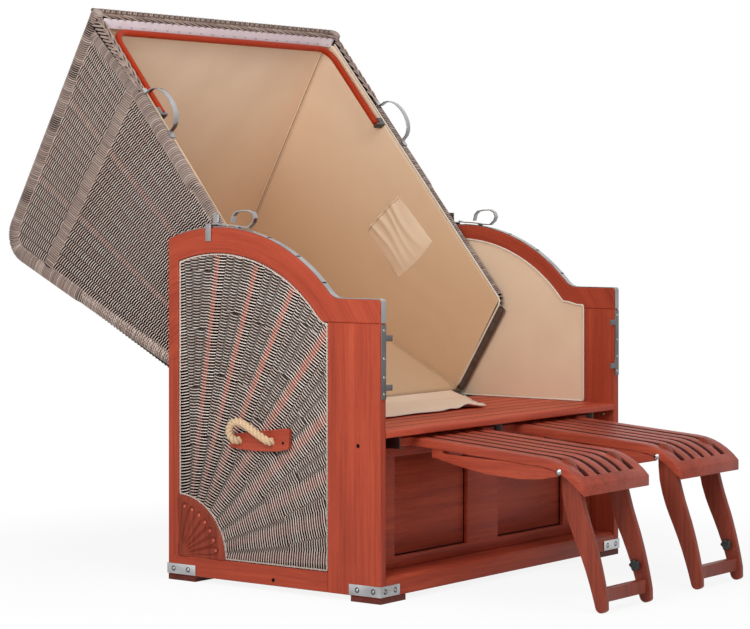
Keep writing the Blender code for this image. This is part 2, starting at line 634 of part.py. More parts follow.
# hood
HOOD_AT = (0.0, PIVOT[0], PIVOT[1])
k, f, r = Vector(KNEE), Vector(PEAK), Vector(REAR)
along = (f - k).normalized()                 # up the front edge
inward = Vector((along.y, -along.x))         # from the front edge into the hood
back_dir = (r - Vector(HEEL)).normalized()
roof_dir = (r - f).normalized()
down = Vector((roof_dir.y, -roof_dir.x))     # from the roof towards the heel
down = down if down.dot(Vector(HEEL) - f) > 0 else -down


def edge_point(up, depth):
    p = k + along * up + inward * depth
    return (p.x, p.y)


back_deg = math.degrees(math.atan2(back_dir.y, back_dir.x))
lobe = arc(PIVOT, LOBE_R, back_deg - 90.0, -150.0, 15.0)
join = tuple(Vector(HEEL) + back_dir * LOBE_JOIN)
sharp = [KNEE, PEAK, REAR, join, lobe[-1]]
outline = rounded(sharp, [KNEE_R, PEAK_R, REAR_R, 0.0, 0.0], 10.0)[:-1] + lobe
sharp_in = inset(sharp, RIM_W)
rim_in = rounded(sharp_in, [KNEE_R, PEAK_R, RIM_IN_R, 0.0, 0.0], 10.0)
u, v = Vector(rim_in[-2]), Vector(rim_in[-1])
rim_in = rim_in[:-1] + [tuple(u + (v - u) * (i + 1) / len(lobe)) for i in range(len(lobe))]


def rim_height(p):
    d = (Vector(p) - Vector(PIVOT)).length
    t = min(max((d - RIM_FROM) / RIM_SLOPE, 0.0), 1.0)
    return RIM_UP * t * t * (3.0 - 2.0 * t)


def finer(pts, step, twin):
    # splits the long edges of two matching outlines at the same places
    one, two = [], []
    n = len(pts)
    for i in range(n):
        j = (i + 1) % n
        a, b, c, d = Vector(pts[i]), Vector(pts[j]), Vector(twin[i]), Vector(twin[j])
        m = max(1, int((b - a).length / step))
        one += [tuple(a + (b - a) * t / m) for t in range(m)]
        two += [tuple(c + (d - c) * t / m) for t in range(m)]
    return one, two


def between(p, q, t):
    return (p[0] + (q[0] - p[0]) * t, p[1] + (q[1] - p[1]) * t)


fine, inner = finer(outline, RIM_STEP, rim_in)
soft = [between(p, q, 0.14) for p, q in zip(fine, inner)]
lip = [between(p, q, 0.80) for p, q in zip(fine, inner)]
room = inset(inner, STAKE_END)
side_stakes = []
for i in range(1, SIDE_STAKES):
    foot = Vector(HEEL) + (k - Vector(HEEL)) * (1.0 - i / SIDE_STAKES)
    head = f + (r - f) * (i / SIDE_STAKES)
    side_stakes.append(strip_in(room, tuple(head), tuple((foot - head).normalized()), SIDE_STAKE_W))
ends = [f + roof_dir * a + down * b for a, b in SIDE_BAR]
wide = Vector((-(ends[1] - ends[0]).y, (ends[1] - ends[0]).x)).normalized() * (SIDE_BAR_W / 2.0)
side_bar = [tuple(ends[0] - wide), tuple(ends[1] - wide), tuple(ends[1] + wide), tuple(ends[0] + wide)]
for side, s in (("left", -1.0), ("right", 1.0)):
    x_in, x_out = HOOD_HALF - SIDE_T, HOOD_HALF
    face = x_out - SIDE_LOW
    rings = [[(s * x_in, p[0], p[1]) for p in fine],
             [(s * (x_out + rim_height(p) - RIM_SOFT), p[0], p[1]) for p in fine],
             [(s * (x_out + rim_height(p)), q[0], q[1]) for p, q in zip(fine, soft)],
             [(s * (x_out + rim_height(p)), q[0], q[1]) for p, q in zip(fine, lip)],
             [(s * face, q[0], q[1]) for q in inner]]
    ob = solid("hood_side_" + side, *loft(rings), WICKER, HOOD_AT)
    raise_strips(ob, "side_stakes_" + side, side_stakes, *mirror(s, face - STAKE_ROOT, x_out), HOOD_AT)
    raise_strips(ob, "side_bar_" + side, [side_bar],
                 *mirror(s, face - 2.0 * STAKE_ROOT, x_out + SIDE_BAR_UP), HOOD_AT)
    drilled[side].append(ob)
    drill("rod_hole_" + side, s, drilled[side])

wall_x = HOOD_HALF - SIDE_T - FIT
bend = rounded([tuple(f), tuple(r), HEEL], [0.0, REAR_R, 0.0], 10.0)[1:-1]
start = Vector(HEEL) + back_dir * HEEL_CUT
shell = [tuple(f + roof_dir * ROOF_IN)] + bend + [tuple(start)]
shell_in = shift(shell, -PANEL_WALL, closed=False)
seam = 1 + len(bend) // 2


def step_on(path):
    # the same path, starting one fit gap later
    a, b = Vector(path[0]), Vector(path[1])
    return [tuple(a + (b - a).normalized() * 2 * FIT)] + path[1:]


beam_back = f + roof_dir * BEAM_W
roof_poly = shell[:seam + 1] + shell_in[1:seam + 1][::-1]
roof_poly += [tuple(beam_back + down * PANEL_WALL), tuple(beam_back + down * BEAM_D)]
roof_poly += [tuple(f + roof_dir * a + down * b) for a, b in BEAM_NOSE]
prism("hood_roof", roof_poly, -wall_x, wall_x, WICKER, origin=HOOD_AT)
back_poly = step_on(shell[seam:]) + step_on(shell_in[seam:])[::-1]
prism("hood_back", back_poly, -wall_x, wall_x, WICKER, origin=HOOD_AT)

# cloth lining, one sewn piece: two sides, back and roof
lin_path = [tuple(beam_back + roof_dir * FIT)] + bend + [tuple(start)]
lin_out = shift(lin_path, -PANEL_WALL - FIT, closed=False)
lin_in = shift(lin_path, -PANEL_WALL - FIT - LINING_T, closed=False)
low_front = Vector(HEEL) + (k - Vector(HEEL)).normalized() * HEEL_CUT
gate = [edge_point(MOUTH_IN, MOUTH_IN)]
under = down * (BEAM_D + FIT)
mouth = f + roof_dir * BEAM_W + under
gate_top = edge_point(HOOD_FRONT - MOUTH_TOP, MOUTH_IN)
rim_pts = [tuple(low_front + inward * MOUTH_LOW)] + gate + [gate_top, tuple(mouth + roof_dir * FIT)]
verts, faces = [], []
m = len(lin_path)
q = len(rim_pts)
xo, xi = wall_x, LINING_X
for x, loop in ((-xo, lin_out), (xo, lin_out), (-xi, lin_in), (xi, lin_in)):
    verts += [(x, p[0], p[1]) for p in loop]
    verts += [(x, p[0], p[1]) for p in rim_pts]
n = m + q
for i in range(m - 1):
    faces.append((i, i + 1, n + i + 1, n + i))
    faces.append((2 * n + i, 2 * n + i + 1, 3 * n + i + 1, 3 * n + i))
faces += [tuple(base + i for i in range(n)) for base in (0, n, 2 * n, 3 * n)]
for i in range(m - 1, n):
    j = (i + 1) % n
    faces.append((i, j, 2 * n + j, 2 * n + i))
    faces.append((n + i, n + j, 3 * n + j, 3 * n + i))
faces.append((m - 1, n + m - 1, 3 * n + m - 1, 2 * n + m - 1))
faces.append((0, n, 3 * n, 2 * n))
solid("hood_lining", verts, faces, CLOTH, HOOD_AT)

# pocket on the right side of the lining
mid = Vector(POCKET_AT)
across = Vector(POCKET_ALONG).normalized()
drop = Vector((-across.y, across.x))
drop = drop if drop.y < 0 else -drop
cells = 10
verts, faces = [], []
for j in range(cells + 1):
    for i in range(cells + 1):
        u, v = 2.0 * i / cells - 1.0, 2.0 * j / cells - 1.0
        p = mid + across * (0.5 * POCKET_W * u * (1.0 - 0.06 * (1.0 - v) / 2.0)) + drop * (0.5 * POCKET_H * v)
        fill = (1.0 - u ** 4) * (1.0 - max(v, 0.0) ** 4) * (0.55 + 0.45 * (v + 1.0) / 2.0)
        verts.append((xi - FIT - POCKET_HEM - POCKET_PUFF * fill, p.x, p.y))
for j in range(cells + 1):
    for i in range(cells + 1):
        x, y, z = verts[j * (cells + 1) + i]
        verts.append((xi - FIT, y, z))
row, lay = cells + 1, (cells + 1) ** 2
for j in range(cells):
    for i in range(cells):
        a = j * row + i
        faces.append((a, a + 1, a + row + 1, a + row))
        faces.append((lay + a, lay + a + 1, lay + a + row + 1, lay + a + row))
for i in range(cells):
    for a, b in ((i, i + 1), (cells * row + i, cells * row + i + 1), (i * row, i * row + row),
                 (i * row + cells, i * row + row + cells)):
        faces.append((a, b, lay + b, lay + a))
solid("lining_pocket", verts, faces, CLOTH, HOOD_AT)

# awning bow, a bent tube that swings forward out of the hood
top = BOW_TOP - BOW_CORNER
flat_path = [(-BOW_X, BOW_LOW - BOW_R), (-BOW_X, 0.5 * (BOW_LOW + top))]
flat_path += arc((-BOW_X + BOW_CORNER, top), BOW_CORNER, 180.0, 90.0, 11.25)
flat_path += [(-0.5 * BOW_X, BOW_TOP), (0.0, BOW_TOP), (0.5 * BOW_X, BOW_TOP)]
flat_path += arc((BOW_X - BOW_CORNER, top), BOW_CORNER, 90.0, 0.0, 11.25)
flat_path += [(BOW_X, 0.5 * (BOW_LOW + top)), (BOW_X, BOW_LOW - BOW_R)]
path = [(p[0], *edge_point(p[1], BOW_IN)) for p in flat_path]
bow_axis = edge_point(BOW_LOW, BOW_IN)
solid("awning_bow", *tube(path, BOW_R, 12), BOW, (0.0, *bow_axis))

for side, s in (("left", -1.0), ("right", 1.0)):
    x1 = xi - FIT
    x0, xe = BOW_X - BOW_R, BOW_X + BOW_R + FIT
    ell = [(x0, -EAR_LOW), (x1, -EAR_LOW), (x1, EAR_UP), (xe, EAR_UP), (xe, -EAR_SEAT), (x0, -EAR_SEAT)]
    rings = [[(s * p[0], *edge_point(BOW_LOW + p[1], BOW_IN + d)) for p in ell] for d in (-EAR_HALF, EAR_HALF)]
    solid("bow_bracket_" + side, *loft(rings), STEEL, HOOD_AT)

    half_len = 0.5 * (GRAB_HIGH - GRAB_LOW)
    centre = 0.5 * (GRAB_HIGH + GRAB_LOW)
    base = GRAB_T / 2.0 + FIT
    bowed = [(centre - half_len - GRAB_FOOT, -base), (centre - half_len - GRAB_BEND, -base)]
    for i in range(13):
        t = math.pi * (1.0 - i / 12.0)
        out = GRAB_RISE + (GRAB_OUT - GRAB_RISE - base) * math.sin(t) ** 0.8
        bowed.append((centre + half_len * math.cos(t), -base - out))
    bowed += [(centre + half_len + GRAB_BEND, -base), (centre + half_len + GRAB_FOOT, -base)]
    bar = shift(bowed, GRAB_T / 2.0, closed=False) + shift(bowed, -GRAB_T / 2.0, closed=False)[::-1]
    bar = [edge_point(*p) for p in bar]
    gx = HOOD_HALF - SIDE_T / 2.0
    prism("grab_handle_" + side, bar, *mirror(s, gx - GRAB_W / 2.0, gx + GRAB_W / 2.0), STEEL, origin=HOOD_AT)

    # bracket on the hood side that carries the lock lever and hooks over the cheek
    a, b, t = HOOD_HALF + FIT, HALF_WIDTH + HOOK_GAP, HOOK_T
    z0 = ARCH_TOP + HOOK_UP
    hook = [(a, z0), (b, z0), (b, z0 - HOOK_DOWN), (b + HOOK_LIP, z0 - HOOK_DOWN), (b + HOOK_LIP, z0 + t),
            (a + t, z0 + t), (a + t, z0 + HOOK_PLATE), (a, z0 + HOOK_PLATE)]
    hook = [(s * p[0], p[1]) for p in hook]
    y0, y1 = PIVOT[0] + HOOK_Y[0], PIVOT[0] + HOOK_Y[1]
    prism("lever_bracket_" + side, hook, y0, y1, STEEL, axis="y", origin=HOOD_AT)

    # lock lever: a flat bar along the top of the cheek, bent round to a finger loop
    knuckle = [LEVER_AXIS, (LEVER_AXIS[0] + LEVER_BEND[0], LEVER_AXIS[1] + LEVER_BEND[1])]
    flat_bar = [on_arch(LEVER_R, d) for d in (1.0, 3.0, 5.0, 6.6, 6.65, 7.55, 7.6, 9.0)]
    loop = [on_arch(LEVER_R + LEVER_RISE, 11.3)]
    loop += [(PIVOT[0] + p[0], ARCH_TOP + p[1]) for p in LEVER_LOOP]
    mid_line = knuckle + flat_bar + loop
    up_side = shift(mid_line, -LEVER_T / 2.0, closed=False)
    low_side = shift(mid_line, LEVER_T / 2.0, closed=False)
    low_side[6] = on_arch(ARCH_R + FIT + STRIP_T + LEVER_TOOTH, 6.65)
    low_side[7] = on_arch(ARCH_R + FIT + STRIP_T + LEVER_TOOTH, 7.55)
    lever = low_side + up_side[::-1]
    sx = HALF_WIDTH - CHEEK_T / 2.0
    prism("lock_lever_" + side, lever, *mirror(s, sx - LEVER_W / 2.0, sx + LEVER_W / 2.0), STEEL,
          origin=(0.0, *LEVER_AXIS))


# footrests
def rest_curve():
    # top line of the slats and its slope, straight and then bending down to the front
    ys = (REST_BACK, REST_BACK - REST_RAIL, REST_MID)
    pts = [((y, REST_Z + math.tan(REST_SLOPE) * y), REST_SLOPE) for y in ys]
    z = REST_Z + math.tan(REST_SLOPE) * REST_BEND_Y
    c = (REST_BEND_Y + REST_BEND_R * math.sin(REST_SLOPE), z - REST_BEND_R * math.cos(REST_SLOPE))
    full = REST_BEND * REST_BEND_R
    stops = [full * i / 6.0 for i in range(6)] + [full]
    stops = sorted([d for d in stops if abs(d - (full - REST_CAP)) > 0.004] + [full - REST_CAP])
    for d in stops:
        a = REST_SLOPE + d / REST_BEND_R
        pts.append(((c[0] - REST_BEND_R * math.sin(a), c[1] + REST_BEND_R * math.cos(a)), a))
    cap_at = 3 + stops.index(full - REST_CAP)
    return pts, cap_at


def cells_solid(stations, lines, filled):
    # one body from the filled cells of a bent grid, station i by line j
    verts, faces, seen = [], [], {}

    def corner_at(i, j, low):
        key = (i, j, low)
        if key not in seen:
            (y, z), a = stations[i]
            if low and i == len(stations) - 1:
                z -= REST_NOSE
            elif low:
                y, z = y + REST_T * math.sin(a), z - REST_T * math.cos(a)
            seen[key] = len(verts)
            verts.append((lines[j], y, z))
        return seen[key]

    for i in range(len(stations) - 1):
        for j in range(len(lines) - 1):
            if not filled(i, j):
                continue
            c = [(i, j), (i + 1, j), (i + 1, j + 1), (i, j + 1)]
            faces.append(tuple(corner_at(a, b, False) for a, b in c))
            faces.append(tuple(corner_at(a, b, True) for a, b in c))
            for (di, dj), (p, q) in (((0, -1), (c[0], c[1])), ((1, 0), (c[1], c[2])),
                                     ((0, 1), (c[2], c[3])), ((-1, 0), (c[3], c[0]))):
                u, v = i + di, j + dj
                inside = 0 <= u < len(stations) - 1 and 0 <= v < len(lines) - 1
                if not (inside and filled(u, v)):
                    faces.append((corner_at(*p, False), corner_at(*q, False),
                                  corner_at(*q, True), corner_at(*p, True)))
    return verts, faces


def pair_with_bar(outer, hole, x_sets):
    # two upright boards joined by a cross bar, one body
    verts, faces = [], []
    flat = outer + hole
    n, m = len(outer), len(flat)
    for x in x_sets:
        verts += [(x, p[0], p[1]) for p in flat]
    tris = [tuple(t) for t in holed(outer, [hole])]
    for layer in (0, 3):
        faces.append(tuple(layer * m + i for i in range(n)))
    for layer in (1, 2):
        faces += [tuple(layer * m + i for i in t) for t in tris]
    for a, b in ((0, 1), (2, 3)):
        for i in range(n):
            j = (i + 1) % n
            faces.append((a * m + i, a * m + j, b * m + j, b * m + i))
    h = len(hole)
    for i in range(h):
        j = (i + 1) % h
        faces.append((m + n + i, m + n + j, 2 * m + n + j, 2 * m + n + i))
    used = sorted({i for f in faces for i in f})
    new = {old: i for i, old in enumerate(used)}
    return [verts[i] for i in used], [tuple(new[i] for i in f) for f in faces]


stations, cap_at = rest_curve()
leg_mid = smooth([(y, REST_Z - d) for y, d in LEG_UPPER] + list(LEG_LOWER), 2)
leg_half = smooth([(h, 0.0) for h in LEG_HALF], 2)
right_edge, left_edge = [], []
for i, p in enumerate(leg_mid):
    d = Vector(leg_mid[min(i + 1, len(leg_mid) - 1)]) - Vector(leg_mid[max(i - 1, 0)])
    nrm = Vector((-d.y, d.x)).normalized() * leg_half[i][0]
    right_edge.append((p[0] + nrm.x, p[1] + nrm.y))
    left_edge.append((p[0] - nrm.x, p[1] - nrm.y))
toe = arc(leg_mid[-1], leg_half[-1][0], -15.0, -150.0, 22.5)
toe = [(p[0], max(p[1], 0.0)) for p in toe]
crown = [(leg_mid[0][0] + p[0], leg_mid[0][1] + p[1]) for p in LEG_CROWN]
leg_outline = right_edge[:-1] + toe + left_edge[:-1][::-1] + crown
if area(leg_outline) < 0:
    leg_outline = leg_outline[::-1]
apron = [(y, REST_Z - d) for y, d in APRON]
apron_bar = [(y, REST_Z - d) for y, d in APRON_BAR]
for side, s in (("left", -1.0), ("right", 1.0)):
    cx = s * REST_X
    reach = GUIDE_X + GUIDE_W / 2.0 - GUIDE_T - TONGUE_GAP
    lines = [cx - reach, cx - REST_W / 2.0]
    for w in REST_COLS:
        lines.append(lines[-1] + w)
    lines.append(cx + reach)
    last = len(lines) - 2

    def filled(i, j):
        if j in (0, last):
            return i == 0
        return i == 0 or i >= cap_at or j % 2 == 1

    verts, faces = cells_solid(stations, lines, filled)
    solid("footrest_slats_" + side, verts, faces, WOOD, (cx, 0.0, 0.0))
    e = REST_W / 2.0
    out, inn = e - APRON_IN, e - APRON_IN - APRON_T
    xs = (cx - out, cx - inn, cx + inn, cx + out)
    solid("footrest_apron_" + side, *pair_with_bar(apron, apron_bar, xs), WOOD, (cx, 0.0, 0.0))
    h = LEG_T / 2.0
    xs = (cx - LEG_X - h, cx - LEG_X + h, cx + LEG_X - h, cx + LEG_X + h)
    legs = solid("footrest_legs_" + side, *pair_with_bar(leg_outline, list(LEG_BAR), xs), WOOD,
                 (cx, *LEG_PIVOT))
    rail = e - REST_COLS[0] - FIT
    for way in (-1.0, 1.0):
        a0, a1 = sorted((cx + way * (LEG_X + h - STAKE_ROOT), cx + way * rail))
        raise_strips(legs, "leg_pin_%s_%d" % (side, way), [arc(LEG_PIVOT, LEG_PIN_R, 0.0, 337.5, 22.5)],
                     a0, a1, (cx, *LEG_PIVOT))
    x = cx + LEG_X - h - FIT
    points = 40
    rings = []
    full = KNOB_R - KNOB_LOBE
    for dx, r0, lobe_r in ((0.0, KNOB_STEM, 0.0), (KNOB_STEM, KNOB_STEM, 0.0),
                           (KNOB_STEM + FIT, full - KNOB_LOBE, KNOB_LOBE),
                           (KNOB_STEM + KNOB_EDGE, full, KNOB_LOBE),
                           (KNOB_T - KNOB_EDGE, full, KNOB_LOBE), (KNOB_T, full - KNOB_EDGE, KNOB_LOBE)):
        ring = []
        for i in range(points):
            t = 2 * math.pi * i / points
            r = r0 + lobe_r * math.cos(5 * t)
            ring.append((x - dx, KNOB_AT[0] + r * math.cos(t), KNOB_AT[1] + r * math.sin(t)))
        rings.append(ring)
    solid("leg_knob_" + side, *loft(rings), BLACK, (x, *KNOB_AT))
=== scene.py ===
import math

import bpy
import numpy as np
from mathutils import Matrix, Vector


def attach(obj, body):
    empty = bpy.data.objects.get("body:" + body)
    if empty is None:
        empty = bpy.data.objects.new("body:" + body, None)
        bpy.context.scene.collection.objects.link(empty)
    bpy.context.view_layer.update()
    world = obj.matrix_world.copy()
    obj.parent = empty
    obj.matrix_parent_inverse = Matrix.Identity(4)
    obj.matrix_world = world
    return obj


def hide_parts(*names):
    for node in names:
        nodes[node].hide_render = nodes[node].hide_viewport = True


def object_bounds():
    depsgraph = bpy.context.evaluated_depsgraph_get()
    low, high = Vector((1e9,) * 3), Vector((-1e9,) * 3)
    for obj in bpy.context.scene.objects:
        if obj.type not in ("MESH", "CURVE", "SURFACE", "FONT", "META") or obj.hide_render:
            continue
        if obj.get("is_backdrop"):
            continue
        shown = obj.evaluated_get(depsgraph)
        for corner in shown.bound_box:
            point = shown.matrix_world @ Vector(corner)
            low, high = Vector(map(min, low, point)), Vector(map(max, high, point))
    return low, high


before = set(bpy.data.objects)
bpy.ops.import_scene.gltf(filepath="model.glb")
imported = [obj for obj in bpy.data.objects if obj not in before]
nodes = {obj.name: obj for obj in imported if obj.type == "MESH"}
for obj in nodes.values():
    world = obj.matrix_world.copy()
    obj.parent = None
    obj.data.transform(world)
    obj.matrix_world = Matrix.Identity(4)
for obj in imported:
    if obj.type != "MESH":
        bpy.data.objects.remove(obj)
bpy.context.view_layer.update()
scene = bpy.context.scene
scene.view_settings.view_transform = "Standard"
sides = (("left", -1.0), ("right", 1.0))
frontY = -0.4375        # sizes below have y = 0 at the front of the cheeks
dice = np.random.default_rng(11)

view = {"place": (-5.7418, -4.3245, 1.0529), "turn": (90.0, 0.0, -52.79), "lens": 117.04, "shift": -0.1436}
camera = bpy.data.objects.new("camera", bpy.data.cameras.new("camera"))
camera.location = view["place"]
camera.rotation_euler = [math.radians(a) for a in view["turn"]]
camera.data.lens = view["lens"]
camera.data.sensor_width = 36.0
camera.data.shift_y = view["shift"]
camera.data.clip_end = 100.0
scene.collection.objects.link(camera)
scene.camera = camera


def tone(red, green, blue):       # a colour as the eye reads it, 0 to 255, made linear
    out = []
    for c in (red, green, blue):
        c /= 255.0
        out.append(c / 12.92 if c <= 0.04045 else ((c + 0.055) / 1.055) ** 2.4)
    return (*out, 1.0)


def tones(*colours):
    return [tone(*c) for c in colours]


def unit(a):
    a = np.asarray(a, float)
    return a / np.maximum(np.linalg.norm(a, axis=-1, keepdims=True), 1e-9)


def place(x, flat):               # points of the side view, set out to x
    flat = np.asarray(flat, float).reshape(-1, 2)
    return np.column_stack([np.broadcast_to(x, len(flat)), flat])


def bent(corners, radii, steps=8, closed=True):     # corners rounded off
    corners = [np.asarray(c, float) for c in corners]
    count, out = len(corners), []
    for i, c in enumerate(corners):
        if radii[i] <= 0.0 or (not closed and i in (0, count - 1)):
            out.append(c)
            continue
        a, b = unit(corners[i - 1] - c), unit(corners[(i + 1) % count] - c)
        half = 0.5 * math.acos(max(-1.0, min(1.0, float(a @ b))))
        reach = radii[i] / math.tan(half)
        middle = c + unit(a + b) * radii[i] / math.sin(half)
        p, q = c + a * reach - middle, c + b * reach - middle
        for t in np.linspace(0.0, 1.0, steps):
            out.append(middle + unit(p * (1.0 - t) + q * t) * radii[i])
    return np.array(out)


def even(path, pitch, closed=False, ends=False):    # places at one pitch along a path, with their directions
    path = np.asarray(path, float)
    if closed:
        path = np.vstack([path, path[:1]])
    far = np.concatenate([[0.0], np.cumsum(np.linalg.norm(np.diff(path, axis=0), axis=1))])
    count = max(3, int(round(far[-1] / pitch)))
    at = np.linspace(0.0, far[-1], count + 1) if ends else (np.arange(count) + 0.5) * far[-1] / count

    def spot(d):
        d = d % far[-1] if closed else np.clip(d, 0.0, far[-1])
        return np.column_stack([np.interp(d, far, path[:, k]) for k in range(path.shape[1])])

    eps = 0.5 * pitch
    return spot(at), unit(spot(at + eps) - spot(at - eps)), at


def smooth(points, steps):        # a curve through the points
    p = np.asarray(points, float)
    p = np.vstack([2 * p[0] - p[1], p, 2 * p[-1] - p[-2]])
    t = np.linspace(0.0, 1.0, steps, endpoint=False)[:, None]
    out = []
    for a, b, c, d in zip(p, p[1:], p[2:], p[3:]):
        out.append(0.5 * (2 * b + (c - a) * t + (2 * a - 5 * b + 4 * c - d) * t ** 2
                          + (3 * b - a - 3 * c + d) * t ** 3))
    return np.vstack(out + [p[-2:-1]])


def ring(radius, count):
    a = np.arange(count) * 2.0 * math.pi / count
    return np.column_stack([np.cos(a), np.sin(a)]) * radius


class Pile:                       # gathers the points and faces of one piece
    def __init__(self):
        self.points, self.faces, self.count = [], [], 0

    def add(self, points, faces):
        points = np.asarray(points, float).reshape(-1, 3)
        self.points.append(points)
        self.faces += [np.atleast_2d(np.asarray(f)) + self.count for f in faces]
        self.count += len(points)

    def tube(self, line, up, section, loop=False):      # a strand along a line, its top turned towards up
        line = np.asarray(line, float)
        section = np.asarray(section, float)
        n, k = len(line), section.shape[-2]
        run = unit(np.roll(line, -1, 0) - np.roll(line, 1, 0) if loop else np.gradient(line, axis=0))
        wide = unit(np.cross(np.broadcast_to(up, line.shape), run))
        rise = np.cross(run, wide)
        section = np.broadcast_to(section, (n, k, 2))
        points = line[:, None] + wide[:, None] * section[..., :1] + rise[:, None] * section[..., 1:]
        i, j = np.arange(n if loop else n - 1)[:, None], np.arange(k)[None]
        ahead, beside = (i + 1) % n, (j + 1) % k
        faces = [np.stack([i * k + j, i * k + beside, ahead * k + beside, ahead * k + j], -1).reshape(-1, 4)]
        if not loop:
            faces += [np.arange(k)[::-1], (n - 1) * k + np.arange(k)]
        self.add(points, faces)

    def between(self, top, base, turned=False):         # closed form between two grids of points
        n, m = top.shape[:2]
        at = np.arange(n * m).reshape(n, m)
        quads = np.stack([at[:-1, :-1], at[1:, :-1], at[1:, 1:], at[:-1, 1:]], -1).reshape(-1, 4)
        edge = np.concatenate([at[:, 0], at[-1, 1:], at[-2::-1, -1], at[0, -2:0:-1]])
        after = np.roll(edge, -1)
        faces = [quads, quads[:, ::-1] + n * m, np.stack([after, edge, edge + n * m, after + n * m], -1)]
        if turned:
            faces = [f[:, ::-1] for f in faces]
        self.add(np.concatenate([top.reshape(-1, 3), base.reshape(-1, 3)]), faces)

    def slab(self, top, thick):                         # a sheet laid on a grid of points, thick downwards
        normal = unit(np.cross(np.gradient(top, axis=0), np.gradient(top, axis=1)))
        self.between(top, top - normal * thick)

    def board(self, outline, x0, x1):                   # an outline of the side view, from x0 out to x1
        low, high = place(x0, outline), place(x1, outline)
        k = len(low)
        j = np.arange(k)
        walls = np.stack([j, (j + 1) % k, (j + 1) % k + k, j + k], -1)
        faces = [j[::-1], j + k, walls]
        turn = np.sum(low[:, 1] * np.roll(low[:, 2], -1) - np.roll(low[:, 1], -1) * low[:, 2])
        if (turn > 0) != (x1 > x0):
            faces = [np.atleast_2d(f)[:, ::-1] for f in faces]
        self.add(np.vstack([low, high]), faces)

    def lathe(self, at, axis, profile, count=14):       # a turned form, profile as out and up
        axis = unit(axis)
        one = unit(np.cross(axis, (0.3, 0.5, 0.8)))
        two = np.cross(axis, one)
        a = np.arange(count) * 2.0 * math.pi / count
        circle = np.cos(a)[:, None] * one + np.sin(a)[:, None] * two
        points = [np.asarray(at, float) + circle * r + axis * h for r, h in profile]
        k, n = count, len(profile)
        i, j = np.arange(n - 1)[:, None], np.arange(k)[None]
        quads = np.stack([i * k + j, i * k + (j + 1) % k, (i + 1) * k + (j + 1) % k, (i + 1) * k + j], -1)
        self.add(np.vstack(points), [quads.reshape(-1, 4), np.arange(k)[::-1], (n - 1) * k + np.arange(k)])


def piece(name, pile, paint, body, stands=(), hard=None, bevel=0.0):
    points = np.concatenate(pile.points)
    points[:, 1] += frontY
    mesh = bpy.data.meshes.new(name)
    mesh.from_pydata(points.tolist(), [], [f for block in pile.faces for f in block.tolist()])
    mesh.shade_smooth()
    if hard:
        mesh.set_sharp_from_angle(angle=math.radians(hard))
    mesh.materials.append(paint.material)
    made = bpy.data.objects.new(name, mesh)
    scene.collection.objects.link(made)
    if bevel:
        soften(made, bevel)
    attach(made, body)
    if stands:
        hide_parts(*stands)
    return made


def soften(made, width, limit=30.0):      # eased edges
    m = made.modifiers.new("eased", "BEVEL")
    m.width = width
    m.segments = 2
    m.limit_method = "ANGLE"
    m.angle_limit = math.radians(limit)
    m.use_clamp_overlap = True


class Wire:                       # one output of a node; sums on wires add Math nodes
    def __init__(self, paint, socket):
        self.paint, self.socket = paint, socket

    def sum(self, kind, a, b=0.0):
        return self.paint.node("ShaderNodeMath", {"operation": kind}, {0: a, 1: b})

    def __add__(self, b): return self.sum("ADD", self, b)
    def __radd__(self, b): return self.sum("ADD", b, self)
    def __sub__(self, b): return self.sum("SUBTRACT", self, b)
    def __rsub__(self, b): return self.sum("SUBTRACT", b, self)
    def __mul__(self, b): return self.sum("MULTIPLY", self, b)
    def __rmul__(self, b): return self.sum("MULTIPLY", b, self)
    def __lt__(self, b): return self.sum("LESS_THAN", self, b)
    def __or__(self, b): return self.sum("MAXIMUM", self, b)
    def __abs__(self): return self.sum("ABSOLUTE", self)


